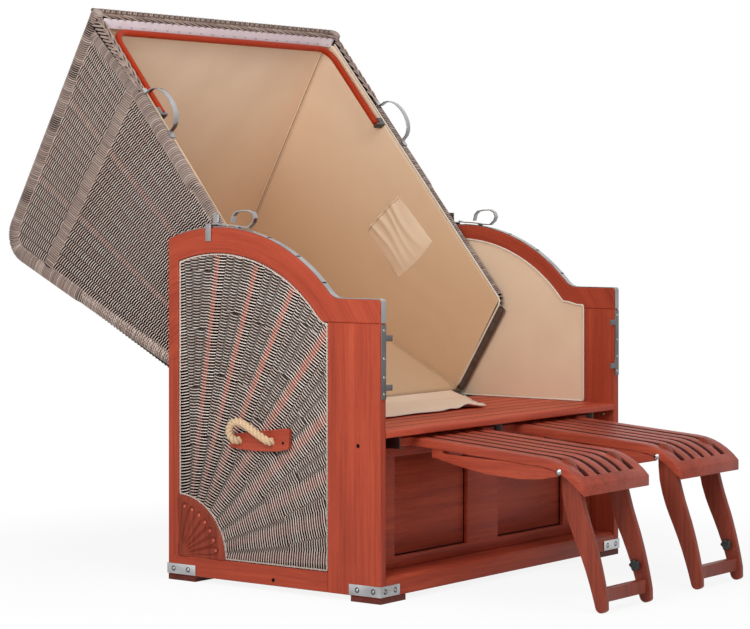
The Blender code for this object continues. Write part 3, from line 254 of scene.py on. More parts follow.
class Paint:                      # a material, or the world, and its nodes
    def __init__(self, name, fixed=None, owner=None):
        self.material = owner or bpy.data.materials.new(name)
        self.material.use_nodes = True
        self.tree = self.material.node_tree
        self.shader = self.tree.nodes.get("Principled BSDF")
        for key, value in (fixed or {}).items():
            self.shader.inputs[key].default_value = value

    def node(self, kind, settings=None, inputs=None, out=0):
        made = self.tree.nodes.new(kind)
        for key, value in (settings or {}).items():
            if key == "stops":
                band = made.color_ramp.elements
                for i, (at, colour) in enumerate(value):
                    stop = band[i] if i < 2 else band.new(at)
                    stop.position, stop.color = at, colour
            else:
                setattr(made, key, value)
        for key, value in (inputs or {}).items():
            if isinstance(value, Wire):
                self.tree.links.new(value.socket, made.inputs[key])
            else:
                made.inputs[key].default_value = value
        return Wire(self, made.outputs[out])

    def feed(self, **wires):      # Base_Color=wire and so on
        for key, wire in wires.items():
            self.tree.links.new(wire.socket, self.shader.inputs[key.replace("_", " ")])

    def axis(self, at, name):     # one of a vector's three numbers
        return self.node("ShaderNodeSeparateXYZ", {}, {0: at}, out=name)

    def seen(self):               # 1 for rays that show this straight, mirrored or through glass
        kinds = ("Camera", "Glossy", "Transmission")
        rays = [self.node("ShaderNodeLightPath", out="Is %s Ray" % kind) for kind in kinds]
        return rays[0] | rays[1] | rays[2]

    def spot(self):               # where on the piece, in metres
        return self.node("ShaderNodeTexCoord", out="Object")

    def stretch(self, at, scale):
        return self.node("ShaderNodeVectorMath", {"operation": "MULTIPLY"}, {0: at, 1: scale})

    def noise(self, at, scale=1.0, detail=2.0, rough=0.5):
        return self.node("ShaderNodeTexNoise", {}, {"Vector": at, "Scale": scale, "Detail": detail,
                                                    "Roughness": rough}, out="Fac")

    def ramp(self, value, stops):
        return self.node("ShaderNodeValToRGB", {"stops": stops}, {"Fac": value}, out="Color")

    def mask(self, value, low, high):     # 0 below low, 1 above high
        return self.node("ShaderNodeMapRange", {"interpolation_type": "SMOOTHSTEP"},
                         {"Value": value, "From Min": low, "From Max": high}, out="Result")

    def mix(self, amount, a, b):
        return self.node("ShaderNodeMix", {"data_type": "RGBA"}, {0: amount, 6: a, 7: b}, out=2)

    def bump(self, height, depth, strength=1.0):
        self.feed(Normal=self.node("ShaderNodeBump", {}, {"Height": height, "Distance": depth,
                                                          "Strength": strength}, out="Normal"))


wood = {"plain": tones((178, 78, 54), (163, 67, 46), (141, 55, 38), (110, 42, 30)),     # pale, middle, deep, pores
        # shade and pale below are darker and lighter copies of the same wood: painted shade and painted light
        "shade": tones((152, 68, 48), (134, 57, 40), (110, 45, 32), (82, 32, 23)),
        "rich": tones((174, 76, 52), (156, 63, 43), (130, 51, 35), (98, 37, 26)),
        "pale": tones((204, 92, 65), (188, 80, 56), (164, 66, 46), (126, 50, 36)),
        "dark": tones((110, 50, 39), (94, 41, 32), (74, 31, 25), (52, 20, 16))}


def woodPaint(name, run, kind, centre=None, gloss=0.0, slotShade=None):      # oiled red hardwood, grain along run
    pale, middle, deep, poreTone = wood[kind]
    paint = Paint(name, {"Roughness": 0.46, "Coat Weight": 0.03 + 0.3 * gloss, "Coat Roughness": 0.22,
                         "Specular IOR Level": 0.12 + 0.3 * gloss})
    at = paint.spot()
    if centre is not None:        # grain that follows the arch, and upright on the stile
        x, z = paint.axis(at, "X"), paint.axis(at, "Z")
        y = paint.axis(at, "Y") - float(centre[0] + frontY)
        high = z - float(centre[1])
        turn = y.sum("ARCTAN2", y, high)
        radius = y.sum("SQRT", y * y + high * high)
        up = z < 0.62
        low = z < 0.0695
        lengthwise = (1.0 - up) * turn * 0.5 + up * ((1.0 - low) * z + low * y)
        across = (1.0 - up) * radius + up * ((1.0 - low) * y + low * z)
        at = paint.node("ShaderNodeCombineXYZ", {}, {0: x, 1: across, 2: lengthwise})

    def along(fine, coarse):
        return paint.stretch(at, tuple(coarse if axis == run else fine for axis in "xyz"))

    broad = paint.noise(along(16.0, 1.1), 1.0, 3.0, 0.55)
    streak = paint.noise(along(120.0, 4.0), 1.0, 3.0, 0.6)
    pores = paint.noise(along(620.0, 22.0), 1.0, 1.0, 0.4)
    body = paint.ramp(broad * 0.55 + streak * 0.45, [(0.34, deep), (0.66, pale), (0.50, middle)])
    pore = paint.mask(pores, 0.60, 0.74) * 0.40
    colour = paint.mix(pore, body, poreTone)
    if slotShade:                     # painted shade: slat walls between the slats of a footrest made darker
        facing = paint.axis(paint.node("ShaderNodeNewGeometry", out="Normal"), "X")
        off = abs(abs(paint.axis(at, "X")) - slotShade["middle"])
        wallShade = paint.mask(abs(facing), 0.55, 0.85) * (off < slotShade["reach"])
        colour = paint.mix(wallShade * 0.85, colour, tone(34, 14, 11))
    paint.feed(Base_Color=colour, Roughness=0.38 + streak * 0.16 + pore * 0.18)
    paint.bump(streak * 0.5 - pore * 0.6, 0.0004)
    return paint


def wickerPaint(name, shades, deepShade=None, groundShade=None):      # cane strands, each its own shade
    paint = Paint(name, {"Roughness": 0.55, "Specular IOR Level": 0.4})
    chance = paint.node("ShaderNodeNewGeometry", out="Random Per Island")
    at = paint.spot()
    patch = paint.noise(at, 9.0, 3.0, 0.6)
    fibre = paint.noise(at, 900.0, 2.0, 0.6)
    count = len(shades) - 1
    inner = [(i / count, shades[i]) for i in range(1, count)]
    shade = paint.ramp(chance, [(0.0, shades[0]), (1.0, shades[-1])] + inner)
    shade = paint.mix(paint.mask(patch, 0.42, 0.68) * 0.35, shade, shades[0])
    shade = paint.mix(fibre * 0.26, shade, tone(70, 55, 48))
    if deepShade:                      # painted shade: near black where a strand lies deep in the weave, its own colour where it stands out
        shade = paint.mix(0.94 - 0.94 * paint.mask(abs(paint.axis(at, "X")), *deepShade), shade, tone(40, 30, 27))
    if groundShade:                       # painted shade, darker towards the ground
        low, high, most, colour = groundShade
        shade = paint.mix(most - most * paint.mask(paint.axis(at, "Z"), low, high), shade, colour)
    paint.feed(Base_Color=shade, Roughness=0.46 + fibre * 0.22)
    paint.bump(fibre, 0.0005)
    return paint


def clothPaint(name, colour, shadow, lowerShade=None):     # plain woven awning cloth
    paint = Paint(name, {"Roughness": 0.9, "Sheen Weight": 0.15, "Sheen Roughness": 0.5,
                         "Specular IOR Level": 0.2})
    at = paint.spot()
    cloud = paint.noise(at, 5.0, 3.0, 0.55)
    crease = paint.noise(paint.stretch(at, (14.0, 9.0, 9.0)), 1.0, 2.0, 0.5)
    thread = paint.noise(at, 1500.0, 1.0, 0.5)
    shade = paint.mix(paint.mask(cloud, 0.35, 0.7) * 0.30, colour, shadow)
    shade = paint.mix(thread * 0.16, shade, shadow)
    if lowerShade:                      # painted shade: golden brown towards the seat, deep in the hood
        shade = paint.mix(0.75 - 0.75 * paint.mask(paint.axis(at, "Z"), 0.75, 1.70), shade, lowerShade)
    paint.feed(Base_Color=shade, Roughness=0.82 + thread * 0.14)
    paint.bump(crease * 0.7 + thread * 0.10, 0.003, 0.55)
    return paint


def steelPaint(name, colour, rough, scale=220.0):    # rolled or plated metal, faint scratches, with painted light: brighter on faces turned up towards the lamps, darker on faces turned away
    paint = Paint(name, {"Metallic": 1.0, "Roughness": rough})
    at = paint.spot()
    brushed = paint.noise(paint.stretch(at, (scale, scale * 0.12, scale * 0.12)), 1.0, 3.0, 0.6)
    dull = paint.noise(at, 14.0, 2.0, 0.5)
    dark, bright = (tuple(min(1.0, c * k) for c in colour[:3]) + (1.0,) for k in (0.35, 1.7))
    # painted light and shade: the colour runs from dark to bright by how far a face turns towards the lamps
    normal = paint.node("ShaderNodeNewGeometry", out="Normal")
    facing = paint.node("ShaderNodeVectorMath", {"operation": "DOT_PRODUCT"}, {0: normal, 1: (-0.45, -0.35, 0.82)},
                        out="Value")
    plate = paint.ramp(facing * 0.5 + 0.5, [(0.18, dark), (0.94, bright), (0.55, colour)])
    paint.feed(Base_Color=paint.mix(paint.mask(dull, 0.4, 0.75) * 0.35, plate, dark),
               Roughness=rough - 0.07 + brushed * 0.16 + dull * 0.06)
    paint.bump(brushed, 0.00012)
    return paint


def plainPaint(name, colour, other, rough, scale, depth, fixed=None):     # mottled cords, paint and plastic
    paint = Paint(name, {"Roughness": rough, **(fixed or {})})
    at = paint.spot()
    grainy = paint.noise(at, scale, 3.0, 0.6)
    paint.feed(Base_Color=paint.mix(paint.mask(grainy, 0.3, 0.75), colour, other),
               Roughness=rough - 0.06 + grainy * 0.12)
    paint.bump(grainy, depth)
    return paint


pivot = np.array((0.567, 0.465))
woodUp = woodPaint("oiled_wood_upright", "z", "plain")
woodAcross = woodPaint("oiled_wood_across", "x", "plain")
woodArch = woodPaint("oiled_wood_arch", "z", "plain", pivot)
# the slats carry painted shade on the walls of the gaps between them
woodSlats = woodPaint("oiled_wood_slats", "y", "rich", gloss=0.15, slotShade={"middle": 0.2475, "reach": 0.158})
woodApron = woodPaint("oiled_wood_apron", "y", "rich", gloss=0.15)
# the legs and the carved fan take the shaded copy of the wood: painted shade
woodLegs = woodPaint("oiled_wood_legs", "z", "shade", gloss=0.15)
# the seat takes the lighter copy of the wood: painted light
litSeatWood = woodPaint("oiled_wood_seat", "x", "pale")
woodBox = woodPaint("oiled_wood_box", "x", "rich")
woodFan = woodPaint("oiled_wood_fan", "z", "shade")
# paler wood on the petal beads: a painted highlight
beadGlintWood = woodPaint("oiled_wood_bead", "z", "pale", gloss=1.0)
woodFoot = woodPaint("oiled_wood_dark", "x", "dark")
wickerHood = wickerPaint("hood_cane", tones((186, 165, 154), (156, 135, 125), (204, 185, 174), (142, 121, 112),
                                            (175, 152, 141), (160, 135, 124)))
# painted shade where a strand lies deep in the weave
wickerSide = wickerPaint("hood_side_cane", tones((250, 226, 213), (232, 205, 192), (253, 238, 228)),
                         deepShade=(0.5632, 0.5654))
# painted shade where a strand lies deep, and painted shade towards the ground
wickerCheek = wickerPaint("cheek_cane", tones((250, 230, 217), (232, 210, 197), (253, 240, 230), (218, 196, 183),
                                              (241, 219, 206)),
                          deepShade=(0.5926, 0.5964), groundShade=(0.05, 0.62, 0.36, tone(104, 84, 76)))
# painted shade towards the ground, near black low down
redCane = wickerPaint("red_flat_cane", tones((136, 58, 37), (123, 50, 32), (146, 65, 42)),
                      groundShade=(0.14, 0.66, 0.92, tone(52, 18, 15)))
brownCane = wickerPaint("brown_flat_cane", tones((100, 44, 34), (86, 38, 30), (108, 50, 38)))
plaitCane = wickerPaint("plaited_cane", tones((180, 156, 144), (148, 125, 115), (200, 177, 165), (134, 111, 102)))
barCane = wickerPaint("wrapped_bar_cane", tones((182, 160, 149), (160, 138, 128), (198, 176, 165), (148, 126, 117)))
# dark brown cane as painted shade, for the hood's low edges and the nose under the beam
shadedEdgeCane = wickerPaint("dark_edge_cane", tones((104, 80, 64), (90, 68, 54), (112, 88, 72)))
# near black: painted shade for the cores behind the weave, the strips that hide strands passing under, the notches,
# holes and open joints
darkCore = plainPaint("shadowed_core", tone(12, 9, 9), tone(7, 5, 5), 0.9, 60.0, 0.0006,
                      {"Specular IOR Level": 0.1})
canvas = clothPaint("beige_cloth", tone(228, 202, 174), tone(208, 179, 148))
# painted shade on the hood lining, darker towards the seat
hoodCanvas = clothPaint("hood_cloth", tone(245, 220, 194), tone(227, 200, 170), lowerShade=tone(196, 156, 114))
seatCanvas = clothPaint("seat_cloth", tone(244, 217, 193), tone(228, 198, 170))
piping = plainPaint("pale_piping", tone(232, 222, 208), tone(206, 192, 174), 0.75, 420.0, 0.0006)
brownThread = plainPaint("brown_thread", tone(128, 94, 64), tone(104, 74, 50), 0.85, 500.0, 0.0006)
lilac = plainPaint("pale_tape", tone(250, 240, 246), tone(232, 220, 228), 0.85, 500.0, 0.0012)
ropeFibre = plainPaint("rope_fibre", tone(224, 196, 160), tone(192, 157, 120), 0.85, 700.0, 0.0012)
steel = steelPaint("plated_steel", (0.38, 0.38, 0.39, 1.0), 0.30)
chrome = steelPaint("bright_plate", (0.30, 0.30, 0.31, 1.0), 0.14, scale=420.0)
stripSteel = steelPaint("strip_steel", (0.26, 0.25, 0.25, 1.0), 0.30)
greyIron = steelPaint("dull_steel", (0.12, 0.115, 0.115, 1.0), 0.38)
bowPaint = plainPaint("orange_red_paint", tone(176, 52, 12), tone(156, 41, 9), 0.40, 160.0, 0.0002,
                      {"Coat Weight": 0.04, "Coat Roughness": 0.15, "Specular IOR Level": 0.15})
blackPlastic = plainPaint("black_plastic", tone(26, 26, 27), tone(18, 18, 19), 0.45, 900.0, 0.0004)
print("finishes done")


# eased edges and even shading for the shapes that come straight from the frame
def shadeGroup(limit):
    group = bpy.data.node_groups.new("even_shading", "GeometryNodeTree")
    group.interface.new_socket("Mesh", in_out="INPUT", socket_type="NodeSocketGeometry")
    group.interface.new_socket("Mesh", in_out="OUTPUT", socket_type="NodeSocketGeometry")
    start, end = group.nodes.new("NodeGroupInput"), group.nodes.new("NodeGroupOutput")
    angle = group.nodes.new("GeometryNodeInputMeshEdgeAngle")
    over = group.nodes.new("FunctionNodeCompare")
    over.data_type, over.operation = "FLOAT", "GREATER_THAN"
    over.inputs[1].default_value = math.radians(limit)
    normal = group.nodes.new("GeometryNodeSetMeshNormal")
    normal.mode = "SHARPNESS"
    normal.inputs["Remove Custom"].default_value = True
    group.links.new(angle.outputs[0], over.inputs[0])
    group.links.new(start.outputs[0], normal.inputs["Mesh"])
    group.links.new(over.outputs[0], normal.inputs["Edge Sharpness"])
    group.links.new(normal.outputs[0], end.inputs[0])
    return group


evenShading = shadeGroup(38.0)


def dress(name, paint, bevel=0.0, limit=30.0):
    made = nodes[name]
    made.data.materials.clear()
    made.data.materials.append(paint.material)
    weld = made.modifiers.new("closed", "WELD")
    weld.merge_threshold = 0.00005
    if bevel:
        soften(made, bevel, limit)
    made.modifiers.new("even_shading", "NODES").node_group = evenShading


rope = {"radius": 0.0112, "face": 0.6136, "lay": 0.040, "strands": 3,
        "route": ((0.000, 0.478, 0.409), (0.005, 0.478, 0.409), (0.012, 0.4785, 0.4093), (0.019, 0.482, 0.413),
                  (0.025, 0.4885, 0.424), (0.029, 0.4885, 0.441), (0.030, 0.479, 0.456), (0.031, 0.458, 0.4645),
                  (0.032, 0.430, 0.457), (0.029, 0.398, 0.438), (0.020, 0.371, 0.4200), (0.012, 0.3625, 0.4130),
                  (0.005, 0.361, 0.412), (0.000, 0.361, 0.412))}


def twisted(pile, path, radius, lay, strands, pitch, count=6, fill=0.50):     # strands laid round each other
    line, run, at = even(path, pitch, ends=True)
    run[0], run[-1] = run[1], run[-2]
    up = unit(np.cross(run[0], (0.31, 0.2, 0.9)))
    ups = []
    for r in run:                 # carry one direction along without twist
        up = unit(up - r * (up @ r))
        ups.append(up)
    ups = np.array(ups)
    wides = np.cross(run, ups)
    for k in range(strands):
        turn = 2.0 * math.pi * (at / lay + k / strands)
        out = ups * np.cos(turn)[:, None] + wides * np.sin(turn)[:, None]
        pile.tube(line + out * radius * (1.0 - fill), out, ring(radius * fill, count))


for side, s in sides:
    pile = Pile()
    path = smooth([(s * (rope["face"] + p[0]), p[1], p[2]) for p in rope["route"]], 6)
    path = np.vstack([path[0] - (s * 0.003, 0.0, 0.0), path, path[-1] - (s * 0.003, 0.0, 0.0)])
    twisted(pile, path, rope["radius"], rope["lay"], rope["strands"], 0.0022, 10)
    made = piece("rope_handle_cord_" + side, pile, ropeFibre, "base", ("rope_handle_" + side,))
    line = [(p[0], p[1] + frontY, p[2]) for p in even(path, 0.008, ends=True)[0]]
print("ropes done")


# the hood's own directions, seen from the side
knee, peak, rear, heel = (np.array(p) for p in ((0.384, 0.762), (1.080, 1.634), (1.459, 0.930), (0.567, 0.469)))
upEdge = unit(peak - knee)
intoHood = np.array((upEdge[1], -upEdge[0]))
roofRun = unit(rear - peak)
roofDown = np.array((roofRun[1], -roofRun[0]))
backRun = unit(rear - heel)
backIn = np.array((-backRun[1], backRun[0]))
lowRun = unit(knee - heel)
lowIn = np.array((lowRun[1], -lowRun[0]))


def edgePoint(up, depth):         # up the front edge from the knee, and in from it
    return knee + np.multiply.outer(up, upEdge) + np.multiply.outer(depth, intoHood)


def hoodPoint(along, down):       # back along the roof from the peak, and down from it
    return peak + np.multiply.outer(along, roofRun) + np.multiply.outer(down, roofDown)


def proud(flat):                  # the hood's edge rolls stand out only above the cheeks
    d = np.linalg.norm(np.asarray(flat) - pivot, axis=-1)
    t = np.clip((d - 0.640) / 0.030, 0.0, 1.0)
    return t * t * (3.0 - 2.0 * t)


def strandSection(width, thick):
    return np.array([(0.5 * width, -0.35 * thick), (0.28 * width, 0.5 * thick),
                     (-0.28 * width, 0.5 * thick), (-0.5 * width, -0.35 * thick)])


def widening(widths, thick):      # a flat strand that changes its width on the way
    return strandSection(1.0, thick) * np.stack([widths, np.ones(len(widths))], -1)[:, None]


def turnSection(width, thick):
    return np.array([(0.5 * width, -0.45 * thick), (0.36 * width, 0.25 * thick), (0.0, 0.55 * thick),
                     (-0.36 * width, 0.25 * thick), (-0.5 * width, -0.45 * thick)])


def overUnder(knots, heights, low, high, steps):    # a strand that passes over one stake and behind the next
    t = np.linspace(0.0, 1.0, steps, endpoint=False)
    at = np.append((knots[:-1, None] + np.diff(knots)[:, None] * t).ravel(), knots[-1])
    rise = np.append((heights[:-1, None] + np.diff(heights)[:, None] * (0.5 - 0.5 * np.cos(np.pi * t))).ravel(),
                     heights[-1])
    keep = (at > low + 0.0008) & (at < high - 0.0008)
    ends = np.interp([low, high], at, rise)
    return np.concatenate([[low], at[keep], [high]]), np.concatenate([[ends[0]], rise[keep], [ends[1]]])


def flatDir(v):                   # a side-view direction in the room
    return np.array((0.0, v[0], v[1]))


def rollSize(spot, thick, middle):        # half thickness and middle of a wound edge, by where it is
    lift = proud(spot)
    return thick[0] + (thick[1] - thick[0]) * lift, middle[0] + (middle[1] - middle[0]) * lift


# turns of cane wound round an edge or bar; at the bare places the turns are narrow and the core shows
def wrapTurns(pile, core, path, inPlane, thick, middle, s, pitch, bare=()):
    spots, runs, at = even(path, pitch)
    a = np.arange(12) * 2.0 * math.pi / 12
    for spot, run, d in zip(spots, runs, at):
        side = np.array((run[1], -run[0]))
        half, mid = rollSize(spot, thick, middle)
        narrow = any(abs(b - d) < 0.022 for b in bare)
        width = pitch * (0.46 if narrow else 0.74 + 0.12 * dice.random())
        lean = run * pitch * 0.5
        flat = spot + np.cos(a)[:, None] * side * inPlane + np.sin(a)[:, None] * lean * s
        out = np.column_stack([s * np.sin(a), np.cos(a)[:, None] * side])
        line = np.column_stack([s * (mid + half * np.sin(a)), flat])
        section = turnSection(width, 0.0030)
        pile.tube(line if s > 0 else line[::-1], out if s > 0 else out[::-1], section, loop=True)
    spots = even(path, 0.02, ends=True)[0]
    half, mid = rollSize(spots, thick, middle)
    oval = np.stack([np.broadcast_to(np.cos(a) * inPlane * 0.965, (len(spots), 12)),
                     np.sin(a)[None] * half[:, None] * 0.93], -1)
    core.tube(np.column_stack([s * mid, spots]), (s, 0.0, 0.0), oval)


hoodWeave = {"pitch": 0.0039, "width": 0.0026, "thick": 0.0026, "lift": 0.0025, "face": 0.5620, "wave": 0.0022,
             "stakes": 24, "flat": (8, 16), "flatWidth": 0.015, "broad": 0.38, "stakeThick": 0.0014,
             "margin": 0.027, "stakeMargin": 0.028, "core": (0.5454, 0.5575), "upper": (8.5, 6.5),
             "lower": (22.0, 15.0), "roof": 0.7996, "lean": (0.426, -0.017)}      # stakes lean more at the front
roll = {"pitch": 0.0066, "half": 0.0205, "thick": (0.0086, 0.0136), "middle": (0.5560, 0.5606), "inset": 0.0210,
        "bare": (0.05, 0.19, 0.36, 0.60), "bar": ((0.135, 0.2530), (0.752, 0.1980)), "barHalf": 0.0190}


def stakeLean(k):                 # a stake's part of the way back, and its slope
    g = k / hoodWeave["stakes"]
    return g, (1.0 - g) * hoodWeave["lean"][0] + g * hoodWeave["lean"][1]


def stakeGap(down):               # distance from stake to stake this far below the roof
    front, back = hoodWeave["lean"]
    return (hoodWeave["roof"] + (back - front) * down) / hoodWeave["stakes"]


def insideHood(flat, margin):
    return ((flat - knee) @ intoHood > margin) & ((flat - peak) @ roofDown > margin) \
        & ((flat - rear) @ backIn > margin) & ((flat - heel) @ lowIn > 0.6 * margin)


def overBar(along):               # how far down the wrapped bar lies
    (a, b), (c, d) = roll["bar"]
    return b + (np.asarray(along) - a) * (d - b) / (c - a)


def hoodRows(name, first, last):  # slanting rows of one panel: start depth and slope of each
    start, stop = hoodWeave[name]
    depth, rows = first, []
    while depth < last:
        slope = math.radians(start + (stop - start) * (depth - first) / (last - first))
        rows.append((depth, slope))
        depth += hoodWeave["pitch"] / math.cos(slope)
    return rows


for side, s in sides:
    strands, stakes, wraps, barWraps, core = Pile(), Pile(), Pile(), Pile(), Pile()
    out = np.array((s, 0.0, 0.0))
    section = strandSection(hoodWeave["width"], hoodWeave["thick"])
    probe = np.arange(0.0, 1.2, 0.002)
    for panel, rows in (("upper", hoodRows("upper", 0.02, 0.40)), ("lower", hoodRows("lower", 0.24, 1.36))):
        for row, (depth, slope) in enumerate(rows):
            along, down = probe * math.cos(slope), depth - probe * math.sin(slope)
            inside = insideHood(hoodPoint(along, down), hoodWeave["margin"])
            inside &= (down < overBar(along) - 0.012) if panel == "upper" else (down > overBar(along) + 0.012)
            if inside.sum() < 6:
                continue
            low, high = probe[inside][0], probe[inside][-1]
            knots, heights, over = [], [], []
            for k in range(-1, hoodWeave["stakes"] + 3):
                g, lean = stakeLean(k)
                u = (lean * depth + g * hoodWeave["roof"]) / (1.0 + lean * math.tan(slope)) / math.cos(slope)
                wide = hoodWeave["broad"] * stakeGap(depth - u * math.sin(slope))
                over.append(u)
                knots += [u - wide, u + wide]
                heights += [hoodWeave["lift"] * (1.0 if (k + row) % 2 else -1.0)] * 2
            at, rise = overUnder(np.array(knots), np.array(heights), low, high, 2)
            count = np.interp(at, over, np.arange(len(over)))
            crest = 1.0 - (2.0 * (count - np.round(count))) ** 2     # rows bow up over every stake
            depthHere = depth + dice.normal(0.0, 0.0002) - hoodWeave["wave"] * crest
            flat = hoodPoint(at * math.cos(slope), depthHere - at * math.sin(slope))
            strands.tube(np.column_stack([s * (hoodWeave["face"] + rise), flat]), out, section)
    for k in range(1, hoodWeave["stakes"]):
        down = np.linspace(0.0, 1.05, 60)
        g, lean = stakeLean(k)
        flat = hoodPoint(g * hoodWeave["roof"] + lean * down, down)
        keep = insideHood(flat, hoodWeave["stakeMargin"])
        if keep.sum() < 3:
            continue
        line = np.column_stack([np.full(keep.sum(), s * hoodWeave["face"]), flat[keep]])
        if k in hoodWeave["flat"]:
            stakes.tube(line, out, strandSection(hoodWeave["flatWidth"], hoodWeave["stakeThick"]))
        else:
            # the thin stakes are wide near-black strips: painted shade where the strands pass under
            wide = 2.0 * hoodWeave["broad"] * stakeGap(down[keep])
            core.tube(line, out, widening(wide, hoodWeave["stakeThick"]))
    inset = 0.012
    board = [knee + inset * (intoHood + upEdge), peak + inset * (roofRun + roofDown), rear + inset * (backIn - backRun),
             heel + inset * (backIn + lowRun)]
    core.board(bent(board, [0.015, 0.015, 0.075, 0.010], 8), s * hoodWeave["core"][0], s * hoodWeave["core"][1])
    edge = bent([edgePoint(1.048, 0.046), edgePoint(0.93, 0.032), edgePoint(0.80, 0.0215),
                 knee + roll["inset"] * (intoHood + upEdge * 0.9),
                 heel + backRun * 0.03 + roll["inset"] * (backIn + lowRun),
                 rear + roll["inset"] * (backIn - backRun), hoodPoint(0.004, roll["inset"])],
                [0.0, 0.3, 0.3, 0.012, 0.012, 0.066, 0.0], 10, closed=False)
    long = float(np.sum(np.linalg.norm(np.diff(edge, axis=0), axis=1)))
    # the low edge is wound in dark brown cane: painted shade along the edge from knee to heel
    lowEdge = Pile()
    low = np.array([knee - lowRun * 0.014, heel + lowRun * 0.030]) + intoHood * 0.016
    wrapTurns(lowEdge, core, low, 0.0195, (0.0098, 0.0098), (0.5562, 0.5562), s, roll["pitch"])
    piece("hood_low_edge_" + side, lowEdge, shadedEdgeCane, "hood")
    wrapTurns(wraps, core, edge, roll["half"], roll["thick"], roll["middle"], s, roll["pitch"],
              [long - b for b in roll["bare"]])
    bar = hoodPoint(*np.array(roll["bar"]).T)
    wrapTurns(barWraps, core, bar, roll["barHalf"], (0.0085, 0.0085), (0.5635, 0.5635), s, roll["pitch"])
    for at, way in ((edge[-1], -roofRun), (edge[0], upEdge)):       # rounded ends of the roll
        half, mid = rollSize(at, roll["thick"], roll["middle"])
        size = np.array((1.0, 0.92, 0.64, 0.12))[:, None]
        a = np.arange(12) * 2.0 * math.pi / 12
        oval = np.stack([np.cos(a) * roll["half"] * size, np.sin(a) * half * size], -1)
        line = [(s * mid, *(at + way * d)) for d in (-0.003, 0.003, 0.0072, 0.0095)]
        wraps.tube(np.array(line), (s, 0.0, 0.0), oval)
    piece("hood_side_weave_" + side, strands, wickerSide, "hood", ("hood_side_" + side,))
    piece("hood_side_rolls_" + side, wraps, wickerHood, "hood")
    piece("hood_side_bar_" + side, barWraps, barCane, "hood")
    piece("hood_side_stakes_" + side, stakes, brownCane, "hood")
    piece("hood_side_core_" + side, core, darkCore, "hood")
print("hood sides done")

# roof and back: rows across the hood, stakes running down
shellWeave = {"pitch": 0.0066, "width": 0.0050, "thick": 0.0030, "lift": 0.0021, "deep": 0.0050, "stakes": 36,
              "half": 0.5442, "seam": 0.795}
shellPath = bent([hoodPoint(0.008, shellWeave["deep"]), rear + shellWeave["deep"] * (backIn - backRun),
                  heel + backRun * 0.026 + backIn * shellWeave["deep"]], [0.0, 0.080, 0.0], 24, closed=False)
spots, runs, at = even(shellPath, shellWeave["pitch"])
for name, keep in (("roof", at < shellWeave["seam"]), ("back", at >= shellWeave["seam"])):
    strands = Pile()
    section = strandSection(shellWeave["width"], shellWeave["thick"])
    knots = np.linspace(-shellWeave["half"] - 0.03, shellWeave["half"] + 0.03, shellWeave["stakes"] + 1)
    for row, (spot, run) in enumerate(zip(spots[keep], runs[keep])):
        out = np.array((0.0, -run[1], run[0]))
        heights = shellWeave["lift"] * np.where((np.arange(len(knots)) + row) % 2, 1.0, -1.0)
        x, rise = overUnder(knots, heights, -shellWeave["half"], shellWeave["half"], 2)
        line = np.column_stack([x, np.full(len(x), spot[0]), np.full(len(x), spot[1])]) + rise[:, None] * out
        strands.tube(line, out, section)
    core = Pile()
    flat, way = spots[keep][::4], runs[keep][::4]
    into = np.column_stack([way[:, 1], -way[:, 0]])
    grid = np.stack([np.column_stack([np.full(len(flat), x), flat + into * 0.0035]) for x in
                     np.linspace(-shellWeave["half"], shellWeave["half"], 5)], 1)
    core.slab(grid, 0.0045)
    if name == "roof":            # the beam under the front edge
        nose = hoodPoint((0.006, 0.044, 0.044, 0.016, 0.008), (0.006, 0.006, 0.036, 0.036, 0.012))
        core.board(nose, -shellWeave["half"], shellWeave["half"])
    piece("hood_%s_weave" % name, strands, wickerHood, "hood", ("hood_" + name,))
    piece("hood_%s_core" % name, core, darkCore, "hood")
print("roof and back done")

# plaited edge along the beam and the upper front edges
braid = {"thick": 0.0040, "lift": 0.0034, "from": 0.805, "half": 0.5725,
         "beam": ((-0.001, 0.0205, -0.058, 0.0300, 0.0058, 1),       # height, width, slant, pitch, strand, group
                  (0.0190, 0.0200, 0.020, 0.0235, 0.0056, 2)),
         "nose": ((0.0045, 0.0050, 0.0062), (0.0075, 0.0165, 0.0056))}      # canes that fill the beam's nose


# slanting strands in groups
def plait(pile, start, end, across, out, width, slant, pitch, strand, taper=0.0, group=1):
    start, end, across, out = (np.asarray(v, float) for v in (start, end, across, out))
    run = unit(end - start)
    long = np.linalg.norm(end - start)
    section = turnSection(strand, braid["thick"])
    t = np.linspace(0.0, 1.0, 9)
    lean = abs(slant)
    first = np.arange(lean if slant < 0 else 0.0, long - (0.0 if slant < 0 else lean), pitch)
    for d in np.add.outer(first, np.arange(group) * 0.36 * pitch).ravel():
        wide = width[0] + (width[1] - width[0]) * d / long
        if taper:
            near = min(d, long - d) / taper
            wide *= math.sqrt(max(0.30, 1.0 - max(0.0, 1.0 - near) ** 2))
        rise = braid["lift"] * np.sin(math.pi * (0.04 + 0.92 * t))
        line = start + run * d + np.multiply.outer(t * slant, run) \
            + np.multiply.outer(-0.08 * wide + 1.10 * wide * t, across) + np.multiply.outer(rise, out)
        pile.tube(line, out, section)


